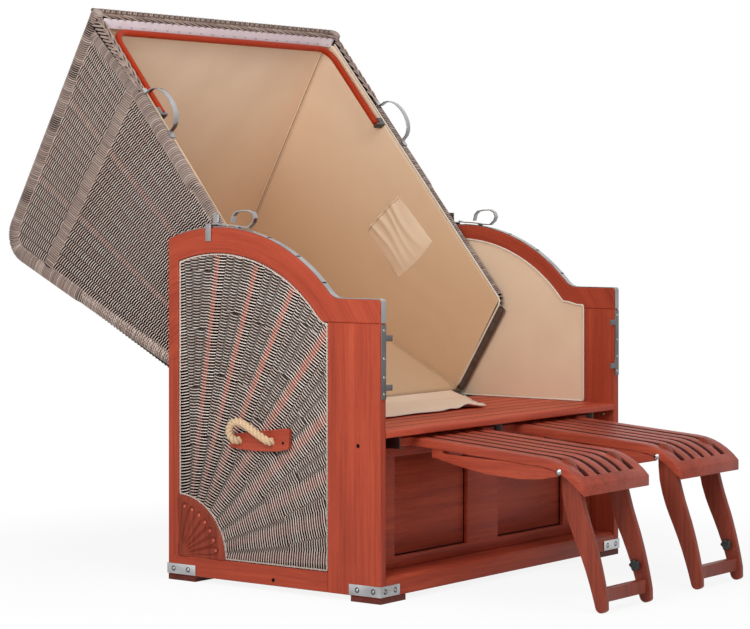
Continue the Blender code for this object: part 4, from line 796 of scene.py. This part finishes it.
plaits, plaitCore, noseCane = Pile(), Pile(), Pile()
corner = hoodPoint(0.013, 0.0375)
noseUp = unit(-0.306 * roofRun - 0.952 * roofDown)
noseOut = unit(-0.952 * roofRun + 0.306 * roofDown)
half = braid["half"]
for low, wide, slant, pitch, strand, group in braid["beam"]:
    at = corner + noseUp * low
    plait(plaits, (-half, *at), (half, *at), flatDir(noseUp), flatDir(noseOut), (wide, wide), slant, pitch, strand,
          0.03, group)
for a, b, r in braid["nose"]:
    x = np.linspace(-half + 0.004, half - 0.004, 80)
    noseCane.tube(np.column_stack([x, np.tile(hoodPoint(a, b), (80, 1))]), flatDir(noseOut), ring(r, 8))
for side, s in sides:
    for way in (-1.0, 1.0):       # on the edge itself
        a, b = edgePoint(braid["from"], 0.0030), edgePoint(1.110, 0.0030)
        plait(plaits, (s * 0.5602, *a), (s * 0.5602, *b), (s * way, 0.0, 0.0), flatDir(-intoHood), (0.0140, 0.0140),
              0.050, 0.0300, 0.0056)
    a, b = edgePoint(braid["from"], 0.004), edgePoint(1.098, 0.004)              # and round on to the side
    plait(plaits, (s * 0.5705, *a), (s * 0.5705, *b), flatDir(intoHood), (s, 0.0, 0.0), (0.004, 0.026), 0.026,
          0.0150, 0.0066)
    plaitCore.board(edgePoint((0.80, 1.082, 1.082, 0.80), (0.0045, 0.0045, 0.032, 0.010)), s * 0.5462, s * 0.5712)
piece("hood_plaited_edge", plaits, plaitCane, "hood")
piece("hood_plait_core", plaitCore, darkCore, "hood")
piece("hood_nose_cane", noseCane, shadedEdgeCane, "hood")

tape = Pile()                     # pale gripping tape under the beam, held with staples
rows = []
for x in np.linspace(-0.5435, 0.5435, 120):
    down = 0.0388 + 0.0006 * np.sin(x * 61.0) + 0.0004 * np.sin(x * 143.0 + 1.0)
    rows.append(np.column_stack([np.full(12, x), hoodPoint(np.linspace(0.0140, 0.0450, 12), down)]))
tape.slab(np.array(rows)[:, ::-1], 0.0016)
piece("beam_tape", tape, lilac, "hood")
staples = Pile()
for x in np.arange(-0.52, 0.53, 0.052):
    wire = hoodPoint((0.036, 0.036, 0.036, 0.036), (0.0385, 0.0398, 0.0398, 0.0385))
    staples.tube(place(x + np.array((-0.005, -0.004, 0.004, 0.005)), wire), flatDir(roofDown), ring(0.0006, 5))
piece("beam_staples", staples, greyIron, "hood")


# lining: two sides and one long strip for roof and back, sewn along corded seams
lining = {"x": 0.5420, "deep": 0.0158, "thick": 0.0016, "belly": 0.004, "start": 0.0455, "foot": (0.5655, 0.4755)}


def liningLine(deep):
    foot = np.array(lining["foot"]) + backIn * (deep - lining["deep"])
    return bent([hoodPoint(lining["start"], deep), rear + deep * (backIn - backRun),
                 heel + backRun * 0.040 + backIn * deep, foot], [0.0, 0.085 - deep, 0.03, 0.0], 20, closed=False)


cloth = Pile()
line, runs, at = even(liningLine(lining["deep"]), 0.016, ends=True)
into = np.column_stack([runs[:, 1], -runs[:, 0]])
xs = np.linspace(-lining["x"], lining["x"], 61)
share = np.abs(xs / lining["x"])[None]
at = at[:, None]
sag = lining["belly"] * np.sin(math.pi * np.clip(at / at[-1], 0, 1)) ** 0.6 * (1.0 - share ** 6)
ripple = 0.0016 * np.sin(xs * 23.0 + 2.2 * np.sin(at * 5.0)) * np.sin(at * 9.0 + xs * 3.0) * (1.0 - share ** 8)
flat = line[:, None] + into[:, None] * (sag + ripple + 0.001)[..., None]
cloth.slab(np.concatenate([np.broadcast_to(xs[None, :, None], (*sag.shape, 1)), flat], -1), lining["thick"])
for side, s in sides:
    back = liningLine(lining["deep"] + 0.001)
    far = np.concatenate([[0.0], np.cumsum(np.linalg.norm(np.diff(back, axis=0), axis=1))])
    half = far[np.argmin(np.linalg.norm(back - (rear + 0.04 * (backIn - backRun)), axis=1))]
    n, m = 56, 56
    t = np.linspace(0.0, 1.0, n)[:, None]         # from the heel or knee up
    u = np.linspace(0.0, 1.0, m)[None]            # from the front edge to the back
    roofSide, backSide = (np.column_stack([np.interp(d, far, back[:, k]) for k in (0, 1)])
                          for d in (u[0] * half, far[-1] - t[:, 0] * (far[-1] - half)))       # both end at the bend
    top0 = hoodPoint(lining["start"], lining["deep"] + 0.001)
    frontCorners = np.array([backSide[0] + lowRun * 0.012, heel + lowRun * 0.040 + intoHood * 0.008,
                             edgePoint(0.010, 0.0115), edgePoint(1.055, 0.0115), top0])
    corners = np.array([0, 3, 17, 52, 55]) / 55.0
    frontSide = np.column_stack([np.interp(t[:, 0], corners, frontCorners[:, k]) for k in (0, 1)])
    k0 = frontSide[0]
    lowSide = k0 + (backSide[0] - k0) * u[0][:, None]
    flat = (1 - u)[..., None] * frontSide[:, None] + u[..., None] * backSide[:, None] \
        + (1 - t)[..., None] * lowSide[None] + t[..., None] * roofSide[None] \
        - ((1 - t) * (1 - u))[..., None] * k0 - ((1 - t) * u)[..., None] * backSide[0] \
        - (t * (1 - u))[..., None] * roofSide[0] - (t * u)[..., None] * backSide[-1]
    puff = 0.0016 * (1 - (2 * u - 1) ** 6) * (1 - (2 * t - 1) ** 6)
    folds = np.sin(t * 21.0 + 3.0 * np.sin(u * 7.0)) * np.sin(u * 15.0 + t * 4.0)
    puff = puff + 0.0144 * folds * (u - u * u) * (t - t * t)
    grid = np.concatenate([(s * (lining["x"] - puff))[..., None], flat], -1)
    cloth.slab(grid if s < 0 else grid[:, ::-1], lining["thick"])
hoodLining = piece("hood_lining_cloth", cloth, hoodCanvas, "hood", ("hood_lining",))

seams, thread, edgings = Pile(), Pile(), []
for side, s in sides:
    edging = Pile()
    for dx, deep in ((0.0010, 0.0), (0.0072, -0.0012)):     # a pair of cords in each corner
        p = even(liningLine(lining["deep"] + 0.0035 + deep), 0.010, ends=True)[0]
        seams.tube(place(s * (lining["x"] - 0.0025 - dx), p), (s, 0.01, 0.0), ring(0.0027, 8))
    p = even(liningLine(lining["deep"] + 0.0042), 0.010, ends=True)[0]
    thread.tube(place(s * (lining["x"] - 0.0075), p), (s, 0.01, 0.0), ring(0.0016, 6))
    low = heel + lowRun * 0.030 + intoHood * 0.004
    p = bent([low, edgePoint(0.004, 0.0085), edgePoint(1.060, 0.0085)], [0.0, 0.02, 0.0], 8, closed=False)
    p = even(p, 0.012, ends=True)[0]
    edging.tube(place(s * (lining["x"] + 0.0005), p), (s, 0.01, 0.0), ring(0.0030, 8))
    paint = piping if s > 0 else hoodCanvas
    edgings.append(piece("lining_edge_piping_" + side, edging, paint, "hood"))
seamPiece = piece("lining_seam_cords", seams, hoodCanvas, "hood")
threadPiece = piece("lining_seam_thread", thread, brownThread, "hood")
print("hood lining done")

# gathered pocket on the right side
pocketSize = {"at": (0.786, 0.958), "along": (-0.755, 0.656), "width": 0.180, "height": 0.198, "puff": 0.0125,
              "sag": 0.010, "face": 0.5392,      # folds: place, width and height of each
              "folds": ((-0.62, 0.10, 0.9), (-0.24, 0.13, 1.0), (0.17, 0.09, 0.8), (0.55, 0.12, 1.0))}
across = unit(pocketSize["along"])
drop = np.array((-across[1], across[0]))
drop = drop if drop[1] < 0 else -drop
u, v = np.meshgrid(np.linspace(-1, 1, 72), np.linspace(-1, 1, 48))
fold = np.full(u.shape, -0.35)
for a, w, h in pocketSize["folds"]:
    fold += h * np.exp(-((u - a + 0.10 * np.sin(2.0 * v + 3 * a)) / w) ** 2)
fold *= np.clip(0.62 - 0.38 * v, 0.08, 1.0) ** 1.2
fill = (1 - np.abs(u) ** 4) * (1 - np.maximum(v, 0) ** 4) * (0.62 + 0.38 * (v + 1) / 2)
wide = 0.5 * pocketSize["width"] * u * (0.97 + 0.03 * v)
deep = 0.5 * pocketSize["height"] * v + pocketSize["sag"] * (1 - u ** 2) * np.clip(v, 0, 1)
flat = np.array(pocketSize["at"]) + wide[..., None] * across + deep[..., None] * drop
x = pocketSize["face"] - pocketSize["puff"] * fill - 0.0062 * fold * (1 - np.abs(u) ** 8) * (1 - np.clip(v, 0, 1) ** 6)
pocket = Pile()
pocket.slab(np.concatenate([x[..., None], flat], -1), 0.0014)
hem = Pile()
row = np.concatenate([x[1][:, None] - 0.0016, flat[1]], -1)
hem.tube(row, (1.0, 0.0, 0.0), strandSection(0.007, 0.003)[::-1] * (1, -1))
pocketHem = piece("pocket_gathered_hem", hem, canvas, "hood")
pocketPiece = piece("lining_pocket_cloth", pocket, canvas, "hood", ("lining_pocket",))

# flap of lining cloth on the seat
flap = {"front": ((-0.500, 0.240), (-0.400, 0.232), (-0.276, 0.222), (-0.135, 0.230), (-0.030, 0.223),
                  (0.060, 0.231), (0.130, 0.232), (0.163, 0.224), (0.186, 0.206), (0.215, 0.235), (0.270, 0.292),
                  (0.360, 0.380), (0.500, 0.500)),
        "back": 0.556, "seat": 0.4588, "thick": 0.0014}
front = smooth(flap["front"], 8)
xs = np.linspace(-0.5, 0.5, 101)
yFront = np.interp(xs, front[:, 0], front[:, 1])
t = np.linspace(0.0, 1.0, 36)[:, None]
y = yFront[None] + (flap["back"] - yFront)[None] * t
z = flap["seat"] + 0.0030 + 0.0150 * np.clip((y - 0.500) / 0.05, 0, 1) ** 1.5
lip = np.exp(-((y - yFront[None]) / 0.035) ** 2)
z = z + lip * (0.002 + 0.010 * np.exp(-((xs - 0.13) / 0.10) ** 2) * (0.6 + 0.4 * np.sin(xs * 60.0)))[None]
z = z + 0.0016 * np.sin(xs * 17.0 + 2.0 * np.sin(y * 19.0)) * np.sin(y * 31.0 + xs * 5.0) * (1 - t ** 4)
grid = np.stack([np.broadcast_to(xs, y.shape), y, z], -1)
flapPile, flapHem = Pile(), Pile()
flapPile.slab(grid[::-1], flap["thick"])
flapHem.tube(grid[0] + (0.0, 0.0005, 0.0003), (0.0, 0.0, 1.0), strandSection(0.006, 0.0026))
flapHemPiece = piece("seat_flap_hem", flapHem, piping, "base")
flapPiece = piece("seat_flap_cloth", flapPile, seatCanvas, "base", ("seat_flap",))
print("pocket and flap done")


# cheeks: woven sunburst, carved fan, cloth inside
cheekWeave = {"pitch": 0.0042, "width": 0.0033, "thick": 0.0026, "lift": 0.0025, "face": 0.5926,
              "sun": (0.690, 0.070), "rows": (0.657, 0.105), "core": (0.5748, 0.5862), "cord": 0.5952,
              "marks": (-2.5, 8.0, 17.5, 27.0, 38.0, 50.5, 63.0, 74.5, 86.0, 97.0),
              "red": (0.018, 0.018, 0.018, 0.020, 0.025, 0.030, 0.033, 0.033, 0.033),
              "dark": (0.018, 0.018, 0.018, 0.018, 0.018, 0.019, 0.021, 0.021, 0.021),
              "redUp": (0.0020, 0.0029), "thin": 0.030, "thinLift": 0.0016, "stakeThick": 0.0016, "hang": 0.062}
opening = {"front": 0.178, "back": 0.715, "low": 0.070, "top": 0.743, "arch": 0.460, "fan": 0.172,
           "fanAt": np.array((0.715, 0.070))}


def insideCheek(flat, margin):
    y, z = flat[..., 0], flat[..., 1]
    under = (z < opening["top"] - margin) | (np.linalg.norm(flat - pivot, axis=-1) < opening["arch"] - margin)
    clear = np.linalg.norm(flat - opening["fanAt"], axis=-1) > opening["fan"] - 0.006
    between = (y > opening["front"] + margin) & (y < opening["back"] - margin)
    return between & (z > opening["low"] + margin) & under & clear


def sunPoint(radius, degrees, centre=cheekWeave["sun"]):
    a = np.radians(degrees)
    return np.stack([centre[0] - radius * np.sin(a), centre[1] + radius * np.cos(a)], -1)


def crossing(radius, degrees):    # where a row meets a stake, as degrees round the rows' own middle
    apart = np.subtract(cheekWeave["sun"], cheekWeave["rows"])
    a = math.radians(degrees)
    way = np.array((-math.sin(a), math.cos(a)))
    b = float(way @ apart)
    root = b * b - float(apart @ apart) + radius * radius
    if root <= 0.0:
        return None
    p = apart + way * (math.sqrt(root) - b)
    return math.degrees(math.atan2(-p[0], p[1]))


def openingLine(margin):
    a = opening["arch"] - margin
    y1 = opening["back"] - margin
    start = math.degrees(math.asin((y1 - pivot[0]) / a))
    flatTop = opening["top"] - margin
    stop = -math.degrees(math.acos((flatTop - pivot[1]) / a))
    turn = np.radians(np.linspace(start, stop + 3.0, 40))
    arch = np.column_stack([pivot[0] + a * np.sin(turn), pivot[1] + a * np.cos(turn)])
    foot = arch[-1] + (-0.012, -0.010)
    line = np.vstack([arch, [foot[0] - 0.012, flatTop], [opening["front"] + margin, flatTop]])
    return np.vstack([line, [opening["front"] + margin, opening["low"] + margin]])


def pairSize(radius, i):          # width of a red stake and the near-black strip beside it, which is painted shade for the gap there, as far as there is room
    step = math.radians(cheekWeave["marks"][i + 1] - cheekWeave["marks"][i]) * radius
    return step, min(1.0, 0.80 * step / (cheekWeave["red"][i] + cheekWeave["dark"][i]))


def columns(radius):              # along a row: stake, offset from it, half width, height, over or behind
    out = []
    for i in range(len(cheekWeave["marks"]) - 1):
        step, size = pairSize(radius, i)
        first = -0.5 * size * cheekWeave["red"][i]
        last = size * cheekWeave["dark"][i] - first
        out.append((i, 0.5 * (first + last), 0.5 * (last - first), cheekWeave["lift"], i))
        rest = step - last + first
        count = int(round(rest / cheekWeave["thin"])) if rest > 0.014 else 0
        for k in range(count):
            off = last + rest * (k + 0.5) / count
            out.append((i, off, 0.25 * rest / count, cheekWeave["thinLift"], i + 1 + k))
    return out


def rowHang(knots, at):           # how far a row hangs in between two stakes
    cuts = np.concatenate([[knots[0] - 0.006], 0.5 * (knots[1:-1:2] + knots[2::2]), [knots[-1] + 0.006]])
    column = np.clip(np.searchsorted(cuts, at) - 1, 0, len(cuts) - 2)
    wide = cuts[column + 1] - cuts[column]
    across = np.clip((at - cuts[column]) / wide, 0.0, 1.0)
    return cheekWeave["hang"] * wide * (1.0 - (2.0 * across - 1.0) ** 2)


for side, s in sides:
    strands, red, core, cord = Pile(), Pile(), Pile(), Pile()
    out = np.array((s, 0.0, 0.0))
    section = strandSection(cheekWeave["width"], cheekWeave["thick"])
    probe = np.arange(-26.0, 116.0, 0.1)
    for row, radius in enumerate(np.arange(0.110, 1.00, cheekWeave["pitch"])):
        inside = insideCheek(sunPoint(radius, probe, cheekWeave["rows"]), 0.003)
        starts = np.flatnonzero(np.diff(np.concatenate([[0], inside.astype(int), [0]])))
        for a, b in zip(starts[::2], starts[1::2]):
            if (b - a) * 0.1 * radius * math.pi / 180.0 < 0.010:
                continue
            knots, heights = [], []
            for i, off, half, lift, turn in columns(radius):
                met = crossing(radius, cheekWeave["marks"][i])
                if met is None:
                    continue
                middle = math.radians(met) * radius + off
                knots += [middle - half, middle + half]
                heights += [lift if (turn + row) % 2 else -lift] * 2
            order = np.argsort(knots)
            knots = np.array(knots)[order]
            at, rise = overUnder(knots, np.array(heights)[order], math.radians(probe[a]) * radius,
                                 math.radians(probe[b - 1]) * radius, 2)
            here = radius - rowHang(knots, at) + dice.normal(0.0, 0.00015)
            flat = sunPoint(here, np.degrees(at / radius), cheekWeave["rows"])
            strands.tube(np.column_stack([s * (cheekWeave["face"] + rise), flat]), out, section)
    for i, deg in enumerate(cheekWeave["marks"][:-1]):      # a red flat stake with a near-black strip beside it: painted shade in the gap
        radius = np.arange(0.10, 1.0, 0.010)
        met = [crossing(r, deg) for r in radius]
        flat = sunPoint(radius, np.array([0.0 if m is None else m for m in met]), cheekWeave["rows"])
        keep = insideCheek(flat, 0.002) & np.array([m is not None for m in met])
        if keep.sum() < 3:
            continue
        line = np.column_stack([np.full(keep.sum(), s * cheekWeave["face"]), flat[keep]])
        size = np.array([pairSize(r, i)[1] for r in radius[keep]])
        turn = math.radians(deg)
        redWide, shadeWide = size * cheekWeave["red"][i], size * cheekWeave["dark"][i]
        beside = np.outer(0.5 * (redWide + shadeWide), (0.0, -math.cos(turn), -math.sin(turn)))
        high = np.clip((line[:, 2] - 0.36) / 0.22, 0.0, 1.0)          # red stakes lie further out near the top
        up = np.outer(cheekWeave["redUp"][0] + (cheekWeave["redUp"][1] - cheekWeave["redUp"][0]) * high, out)
        (red if i else core).tube(line + up, out, widening(redWide, cheekWeave["stakeThick"]))
        core.tube(line + beside, out, widening(shadeWide, cheekWeave["stakeThick"]))
    edge = openingLine(0.0015)
    edge = np.vstack([edge, [opening["back"] - 0.0015, opening["low"] + 0.0015]])
    core.board(edge, s * cheekWeave["core"][0], s * cheekWeave["core"][1])
    line = np.vstack([openingLine(0.0042), [opening["fanAt"][0] - opening["fan"] - 0.003, opening["low"] + 0.0042]])
    turn = np.radians(np.linspace(180.0, 90.0, 24))
    rim = opening["fanAt"] + (opening["fan"] + 0.003) * np.column_stack([np.cos(turn), np.sin(turn)])
    line = np.vstack([line, rim[1:-1], [opening["back"] - 0.0042, opening["low"] + opening["fan"] + 0.004]])
    line = np.vstack([line, line[:1]])
    twisted(cord, place(s * cheekWeave["cord"], line), 0.0034, 0.015, 2, 0.003, 5, 0.58)
    piece("cheek_weave_strands_" + side, strands, wickerCheek, "base", ("cheek_weave_" + side,))
    piece("cheek_red_stakes_" + side, red, redCane, "base")
    piece("cheek_weave_core_" + side, core, darkCore, "base")
    piece("cheek_edge_cord_" + side, cord, wickerCheek, "base")
print("cheek weave done")

carvedFan = {"petals": 7, "spread": 82.0, "clear": 4.0, "back": 0.5790, "face": 0.6008, "groove": 0.0046, "pit": 0.0036,
             "pitAt": 0.825, "tip": 0.88, "bead": ((0.0052, 0.0), (0.0049, 0.0014), (0.0036, 0.0028), (0.0014, 0.0034))}
for side, s in sides:
    petals = carvedFan["petals"]
    a = np.linspace(0.0, 1.0, petals * 18 + 1)
    r = np.linspace(0.0, 1.0, 60)[:, None]
    radius = 0.004 + (opening["fan"] - 0.0045) * r
    turn = np.radians(90.0 + 90.0 * a)
    inner = np.clip((a * 90.0 - carvedFan["clear"]) / carvedFan["spread"], 0.0, 1.0 - 1e-6) * petals
    lobe = inner - np.floor(inner) - 0.5
    step = radius * math.radians(carvedFan["spread"] / petals)               # from petal to petal
    off = np.abs(lobe)[None] * step                                          # sideways from a petal's middle
    tip = np.clip((r - 0.72) / (carvedFan["tip"] - 0.72), 0, 1)
    half = step * 0.40 * np.sqrt(1 - tip ** 2)
    cutLine = np.exp(-((off - half) / 0.0022) ** 2) * np.clip((r - 0.16) / 0.10, 0, 1) * (r < carvedFan["tip"] + 0.01)
    scoop = np.clip(1 - (off / np.maximum(half, 0.0012)) ** 2, 0, 1) * np.clip((r - 0.2) / 0.3, 0, 1)
    scoop = scoop * (r < carvedFan["tip"])
    pit = np.exp(-((off ** 2 + ((r - carvedFan["pitAt"]) * opening["fan"]) ** 2) / 0.0062 ** 2))
    x = carvedFan["face"] - carvedFan["groove"] * cutLine - 0.0016 * scoop - carvedFan["pit"] * pit \
        - 0.0030 * np.clip((r - 0.965) / 0.035, 0, 1) ** 2
    y = opening["fanAt"][0] - 0.0006 + radius * np.cos(turn)[None]
    z = opening["fanAt"][1] + 0.0006 + radius * np.sin(turn)[None]
    top = np.stack([s * x, y, z], -1)
    base = top.copy()
    base[..., 0] = s * carvedFan["back"]
    pile = Pile()
    pile.between(top, base, turned=s < 0)
    piece("carved_fan_relief_" + side, pile, woodFan, "base", ("carved_fan_" + side,), hard=50.0)
    beads = Pile()                # a polished bead in the tip of each petal, in paler wood: a painted highlight
    for i in range(petals):
        turn = math.radians(90.0 + carvedFan["clear"] + carvedFan["spread"] * (i + 0.5) / petals)
        at = opening["fanAt"] + opening["fan"] * carvedFan["pitAt"] * np.array((math.cos(turn), math.sin(turn)))
        beads.lathe((s * (carvedFan["face"] - 0.0026), *at), (s, 0.0, 0.0), carvedFan["bead"], 16)
    piece("carved_fan_beads_" + side, beads, beadGlintWood, "base")

cheekCloth = {"front": 0.108, "back": 0.735, "low": 0.4586, "arc": 0.486, "top": 0.753, "x": 0.5728,
              "thick": 0.0016, "cord": 0.5712}
for side, s in sides:
    ys = np.linspace(cheekCloth["front"], cheekCloth["back"], 80)
    arc = pivot[1] + np.sqrt(np.maximum(cheekCloth["arc"] ** 2 - (ys - pivot[0]) ** 2, 0.0))
    top = np.maximum(arc, cheekCloth["top"] + 0.009 * np.clip((ys - 0.13) / 0.035, 0, 1))
    t = np.linspace(0.0, 1.0, 50)[:, None]
    z = cheekCloth["low"] + (top - cheekCloth["low"])[None] * t
    u = (ys - ys[0]) / (ys[-1] - ys[0])
    puff = 0.0012 * (1 - (2 * u[None] - 1) ** 8) * (1 - (2 * t - 1) ** 8)
    puff = puff * (1.0 + 0.35 * np.sin(ys * 31.0 + 2 * np.sin(z * 13.0)))
    grid = np.stack([s * (cheekCloth["x"] - puff), np.broadcast_to(ys, z.shape), z], -1)
    pile, cord = Pile(), Pile()
    pile.slab(grid if s > 0 else grid[:, ::-1], cheekCloth["thick"])
    foot = cheekCloth["low"] + 0.0024
    line = even(np.vstack([[(ys[0], foot)], np.column_stack([ys, top]), [(ys[-1], foot)]]), 0.010, closed=True)[0]
    cord.tube(place(s * cheekCloth["cord"], line), (s, 0.01, 0.02), ring(0.0028, 7), loop=True)
    trim = piece("cheek_lining_piping_" + side, cord, piping, "base")
    made = piece("cheek_lining_cloth_" + side, pile, canvas, "base", ("cheek_lining_" + side,))
print("cheek linings done")


bow = {"x": 0.5095, "radius": 0.0102, "in": 0.020, "low": 0.732, "top": 1.045, "corner": 0.050}
path = bent([(-bow["x"], bow["low"]), (-bow["x"], bow["top"]), (bow["x"], bow["top"]), (bow["x"], bow["low"])],
            [0.0, bow["corner"], bow["corner"], 0.0], 14, closed=False)
path = even(path, 0.016, ends=True)[0]
pile = Pile()
line = place(path[:, 0], edgePoint(path[:, 1], np.full(len(path), bow["in"])))
pile.tube(line, flatDir(intoHood), ring(bow["radius"], 16))
piece("awning_bow_tube", pile, bowPaint, "bow", ("awning_bow",))


# pieces that keep the frame's own shape
for side, s in sides:
    dress("cheek_frame_" + side, woodArch)
    dress("front_post_" + side, woodUp)
    dress("rope_plate_" + side, woodApron)
    dress("footrest_slats_" + side, woodSlats, 0.0030)
    dress("footrest_apron_" + side, woodApron, 0.0026)
    dress("footrest_legs_" + side, woodLegs, 0.0030)
    for end in ("front", "back"):
        dress("foot_%s_%s" % (end, side), woodFoot)
        dress("corner_bracket_%s_%s" % (end, side), steel, 0.0004)
    dress("arch_strip_" + side, stripSteel, 0.0005)
    dress("hook_plate_" + side, greyIron, 0.0005)
    dress("guide_rail_" + side, greyIron, 0.0004)
    dress("bow_bracket_" + side, greyIron, 0.0008)
    dress("grab_handle_" + side, chrome, 0.0006)
    dress("lever_bracket_" + side, stripSteel, 0.0005)
    dress("lock_lever_" + side, chrome, 0.0006)
    dress("leg_knob_" + side, blackPlastic, 0.0006)
dress("seat_board", litSeatWood)
dress("box_front_frame", woodBox, 0.0016)
dress("box_front_panel", woodBox, 0.0010)
dress("plinth_rail", woodBox, 0.0016)
dress("box_back_board", woodAcross)
dress("guide_rail_middle", greyIron, 0.0004)
dress("pivot_rod", steel, 0.0006)
print("frame pieces dressed")


# small metal: screws and bolts; strip notches and sunk plugs, drawn near-black as painted shade
fittings = {"notches": (44.0, 31.7, 19.4, 7.1, -5.2, -17.5), "arch": 0.531, "plugs": ((0.074, 0.416), (0.367, 0.032)),
            "bolt": (-0.439, 0.364), "plateHole": (0.322, 0.410), "stripScrews": (0.556, 0.600, 0.650, 0.725),
            "footScrews": 0.0325,         # profiles below are out and up
            "plugForm": ((0.0056, -0.0006), (0.0056, 0.0001), (0.0048, 0.0004), (0.0040, 0.0001)),
            "holeForm": ((0.0040, -0.0006), (0.0040, 0.0006), (0.0030, 0.0008), (0.0024, 0.0006)),
            "cupForm": ((0.0074, -0.0002), (0.0074, 0.0002), (0.0060, 0.0003), (0.0040, 0.0003)),
            "boltForm": ((0.0085, -0.0004), (0.0085, 0.0008), (0.0066, 0.0016), (0.0062, 0.0036), (0.0046, 0.0052),
                         (0.0018, 0.0056))}


def screwHead(pile, at, axis, radius, high):      # a domed head with a sunk middle
    form = ((1.0, 0.0), (0.96, 0.45), (0.72, 0.85), (0.34, 1.0), (0.22, 0.55))
    pile.lathe(at, axis, [(radius * a, high * b) for a, b in form], 16)


for side, s in sides:
    notches, screws, sunk, bolts = Pile(), Pile(), Pile(), Pile()
    for deg in fittings["notches"]:
        a, b = math.radians(deg), math.radians(deg - 6.15)      # a notch as a near-black plate of painted shade, and a screw half way to the next
        away, run = np.array((-math.sin(a), math.cos(a))), np.array((-math.cos(a), -math.sin(a)))
        at = pivot + away * (fittings["arch"] + 0.0020)
        foot, tip, rise = run * 0.0026, run * 0.0022, away * 0.0007
        notches.board([at - foot, at + foot, at + tip + rise, at - tip + rise], s * 0.5815, s * 0.5972)
        away = np.array((-math.sin(b), math.cos(b)))
        at = pivot + away * (fittings["arch"] + 0.0022)
        screwHead(screws, (s * 0.587, *at), flatDir(away), 0.0036, 0.0012)
    for z in fittings["stripScrews"]:
        screwHead(screws, (s * 0.587, -0.0026, z), (0.0, -1.0, 0.0), 0.0040, 0.0014)
    # the plugs, the plate's hole and the rims round the screws are near-black: painted shade in these hollows
    for y, z in fittings["plugs"]:
        sunk.lathe((s * 0.6001, y, z), (s, 0.0, 0.0), fittings["plugForm"], 16)
    sunk.lathe((s * 0.6126, *fittings["plateHole"]), (s, 0.0, 0.0), fittings["holeForm"], 14)
    for face, places, way in ((-0.0018, (0.022, 0.076), -1.0), (0.7538, (0.676, 0.730), 1.0)):
        heads = [((s * 0.6018, y), (s, 0.0, 0.0)) for y in places]
        heads += [((s * x, face), (0.0, way, 0.0)) for x in (0.535, 0.580)]
        for at, axis in heads:
            screwHead(screws, (*at, fittings["footScrews"]), axis, 0.0050, 0.0016)
            sunk.lathe((*at, fittings["footScrews"]), axis, fittings["cupForm"], 18)
    screwHead(screws, (s * 0.5738, 0.039, 0.424), (-s, 0.0, 0.0), 0.0042, 0.0014)
    piece("arch_strip_notches_" + side, notches, darkCore, "base")
    piece("fixing_screws_" + side, screws, chrome, "base")
    piece("sunk_plugs_" + side, sunk, darkCore, "base")
    for way in (-1.0, 1.0):
        bolts.lathe((s * 0.2475 + way * 0.165, *fittings["bolt"]), (way, 0.0, 0.0), fittings["boltForm"], 20)
    piece("footrest_bolts_" + side, bolts, chrome, "footrest_" + side)
jointShade = Pile()                   # open joints as near-black strips of painted shade: between the seat's boards and round the loose panels


def slit(y0, y1, z0, z1, x0, x1):
    jointShade.board([(y0, z0), (y1, z0), (y1, z1), (y0, z1)], x0, x1)


for y in np.arange(0.058, 0.56, 0.062):
    slit(y, y + 0.0016, 0.4572, 0.45835, -0.572, 0.572)
for low, high in ((-0.422, -0.0755), (0.0755, 0.422)):
    slit(0.0975, 0.0992, 0.1002, 0.1030, low, high)
    slit(0.0975, 0.0992, 0.1002, 0.3715, high - 0.0030, high - 0.0002)
piece("open_joints", jointShade, darkCore, "base")
print("fittings done")


light = {"fill": 0.40, "key": 46.0, "keyAt": (-2.7, -0.8, 1.75), "keySize": 1.4, "top": 66.0,
         "topAt": (-1.0, -2.8, 4.2), "topSize": 2.4}


def lamp(name, at, aim, power, size):
    made = bpy.data.objects.new(name, bpy.data.lights.new(name, "AREA"))
    made.data.energy, made.data.size = power, size
    made.location = at
    made.rotation_euler = (Vector(aim) - made.location).to_track_quat("-Z", "Y").to_euler()
    made.visible_camera = False
    scene.collection.objects.link(made)


lamp("key", light["keyAt"], (0.0, 0.1, 0.75), light["key"], light["keySize"])
lamp("top", light["topAt"], (0.0, -0.1, 0.6), light["top"], light["topSize"])
world = bpy.data.worlds.new("studio")
scene.world = world
sky = Paint("studio", owner=world)
back = sky.tree.nodes["Background"]
back.inputs["Color"].default_value = (1.0, 1.0, 1.0, 1.0)
sky.tree.links.new((light["fill"] + sky.seen() * (1.0 - light["fill"])).socket, back.inputs["Strength"])

floorMesh = bpy.data.meshes.new("floor")
floorMesh.from_pydata([(-30, -30, 0), (30, -30, 0), (30, 30, 0), (-30, 30, 0)], [], [(0, 1, 2, 3)])
floorPaint = Paint("white_floor", {"Base Color": (0.92, 0.92, 0.92, 1.0), "Roughness": 1.0,
                                   "Specular IOR Level": 0.0})
away = floorPaint.node("ShaderNodeVectorMath", {"operation": "LENGTH"}, {0: floorPaint.spot()}, out="Value")
glow = floorPaint.node("ShaderNodeEmission", {}, {"Color": (1.0, 1.0, 1.0, 1.0), "Strength": 1.0})
shader = Wire(floorPaint, floorPaint.shader.outputs[0])
white = floorPaint.seen() * (0.88 + 0.12 * floorPaint.mask(away, 0.9, 1.9))       # the shadow shows near the chair
mixed = floorPaint.node("ShaderNodeMixShader", {}, {0: white, 1: shader, 2: glow})
floorPaint.tree.links.new(mixed.socket, floorPaint.tree.nodes["Material Output"].inputs["Surface"])
floor = bpy.data.objects.new("floor", floorMesh)
floorMesh.materials.append(floorPaint.material)
scene.collection.objects.link(floor)
floor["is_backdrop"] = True
print("light and floor done")

low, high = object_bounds()
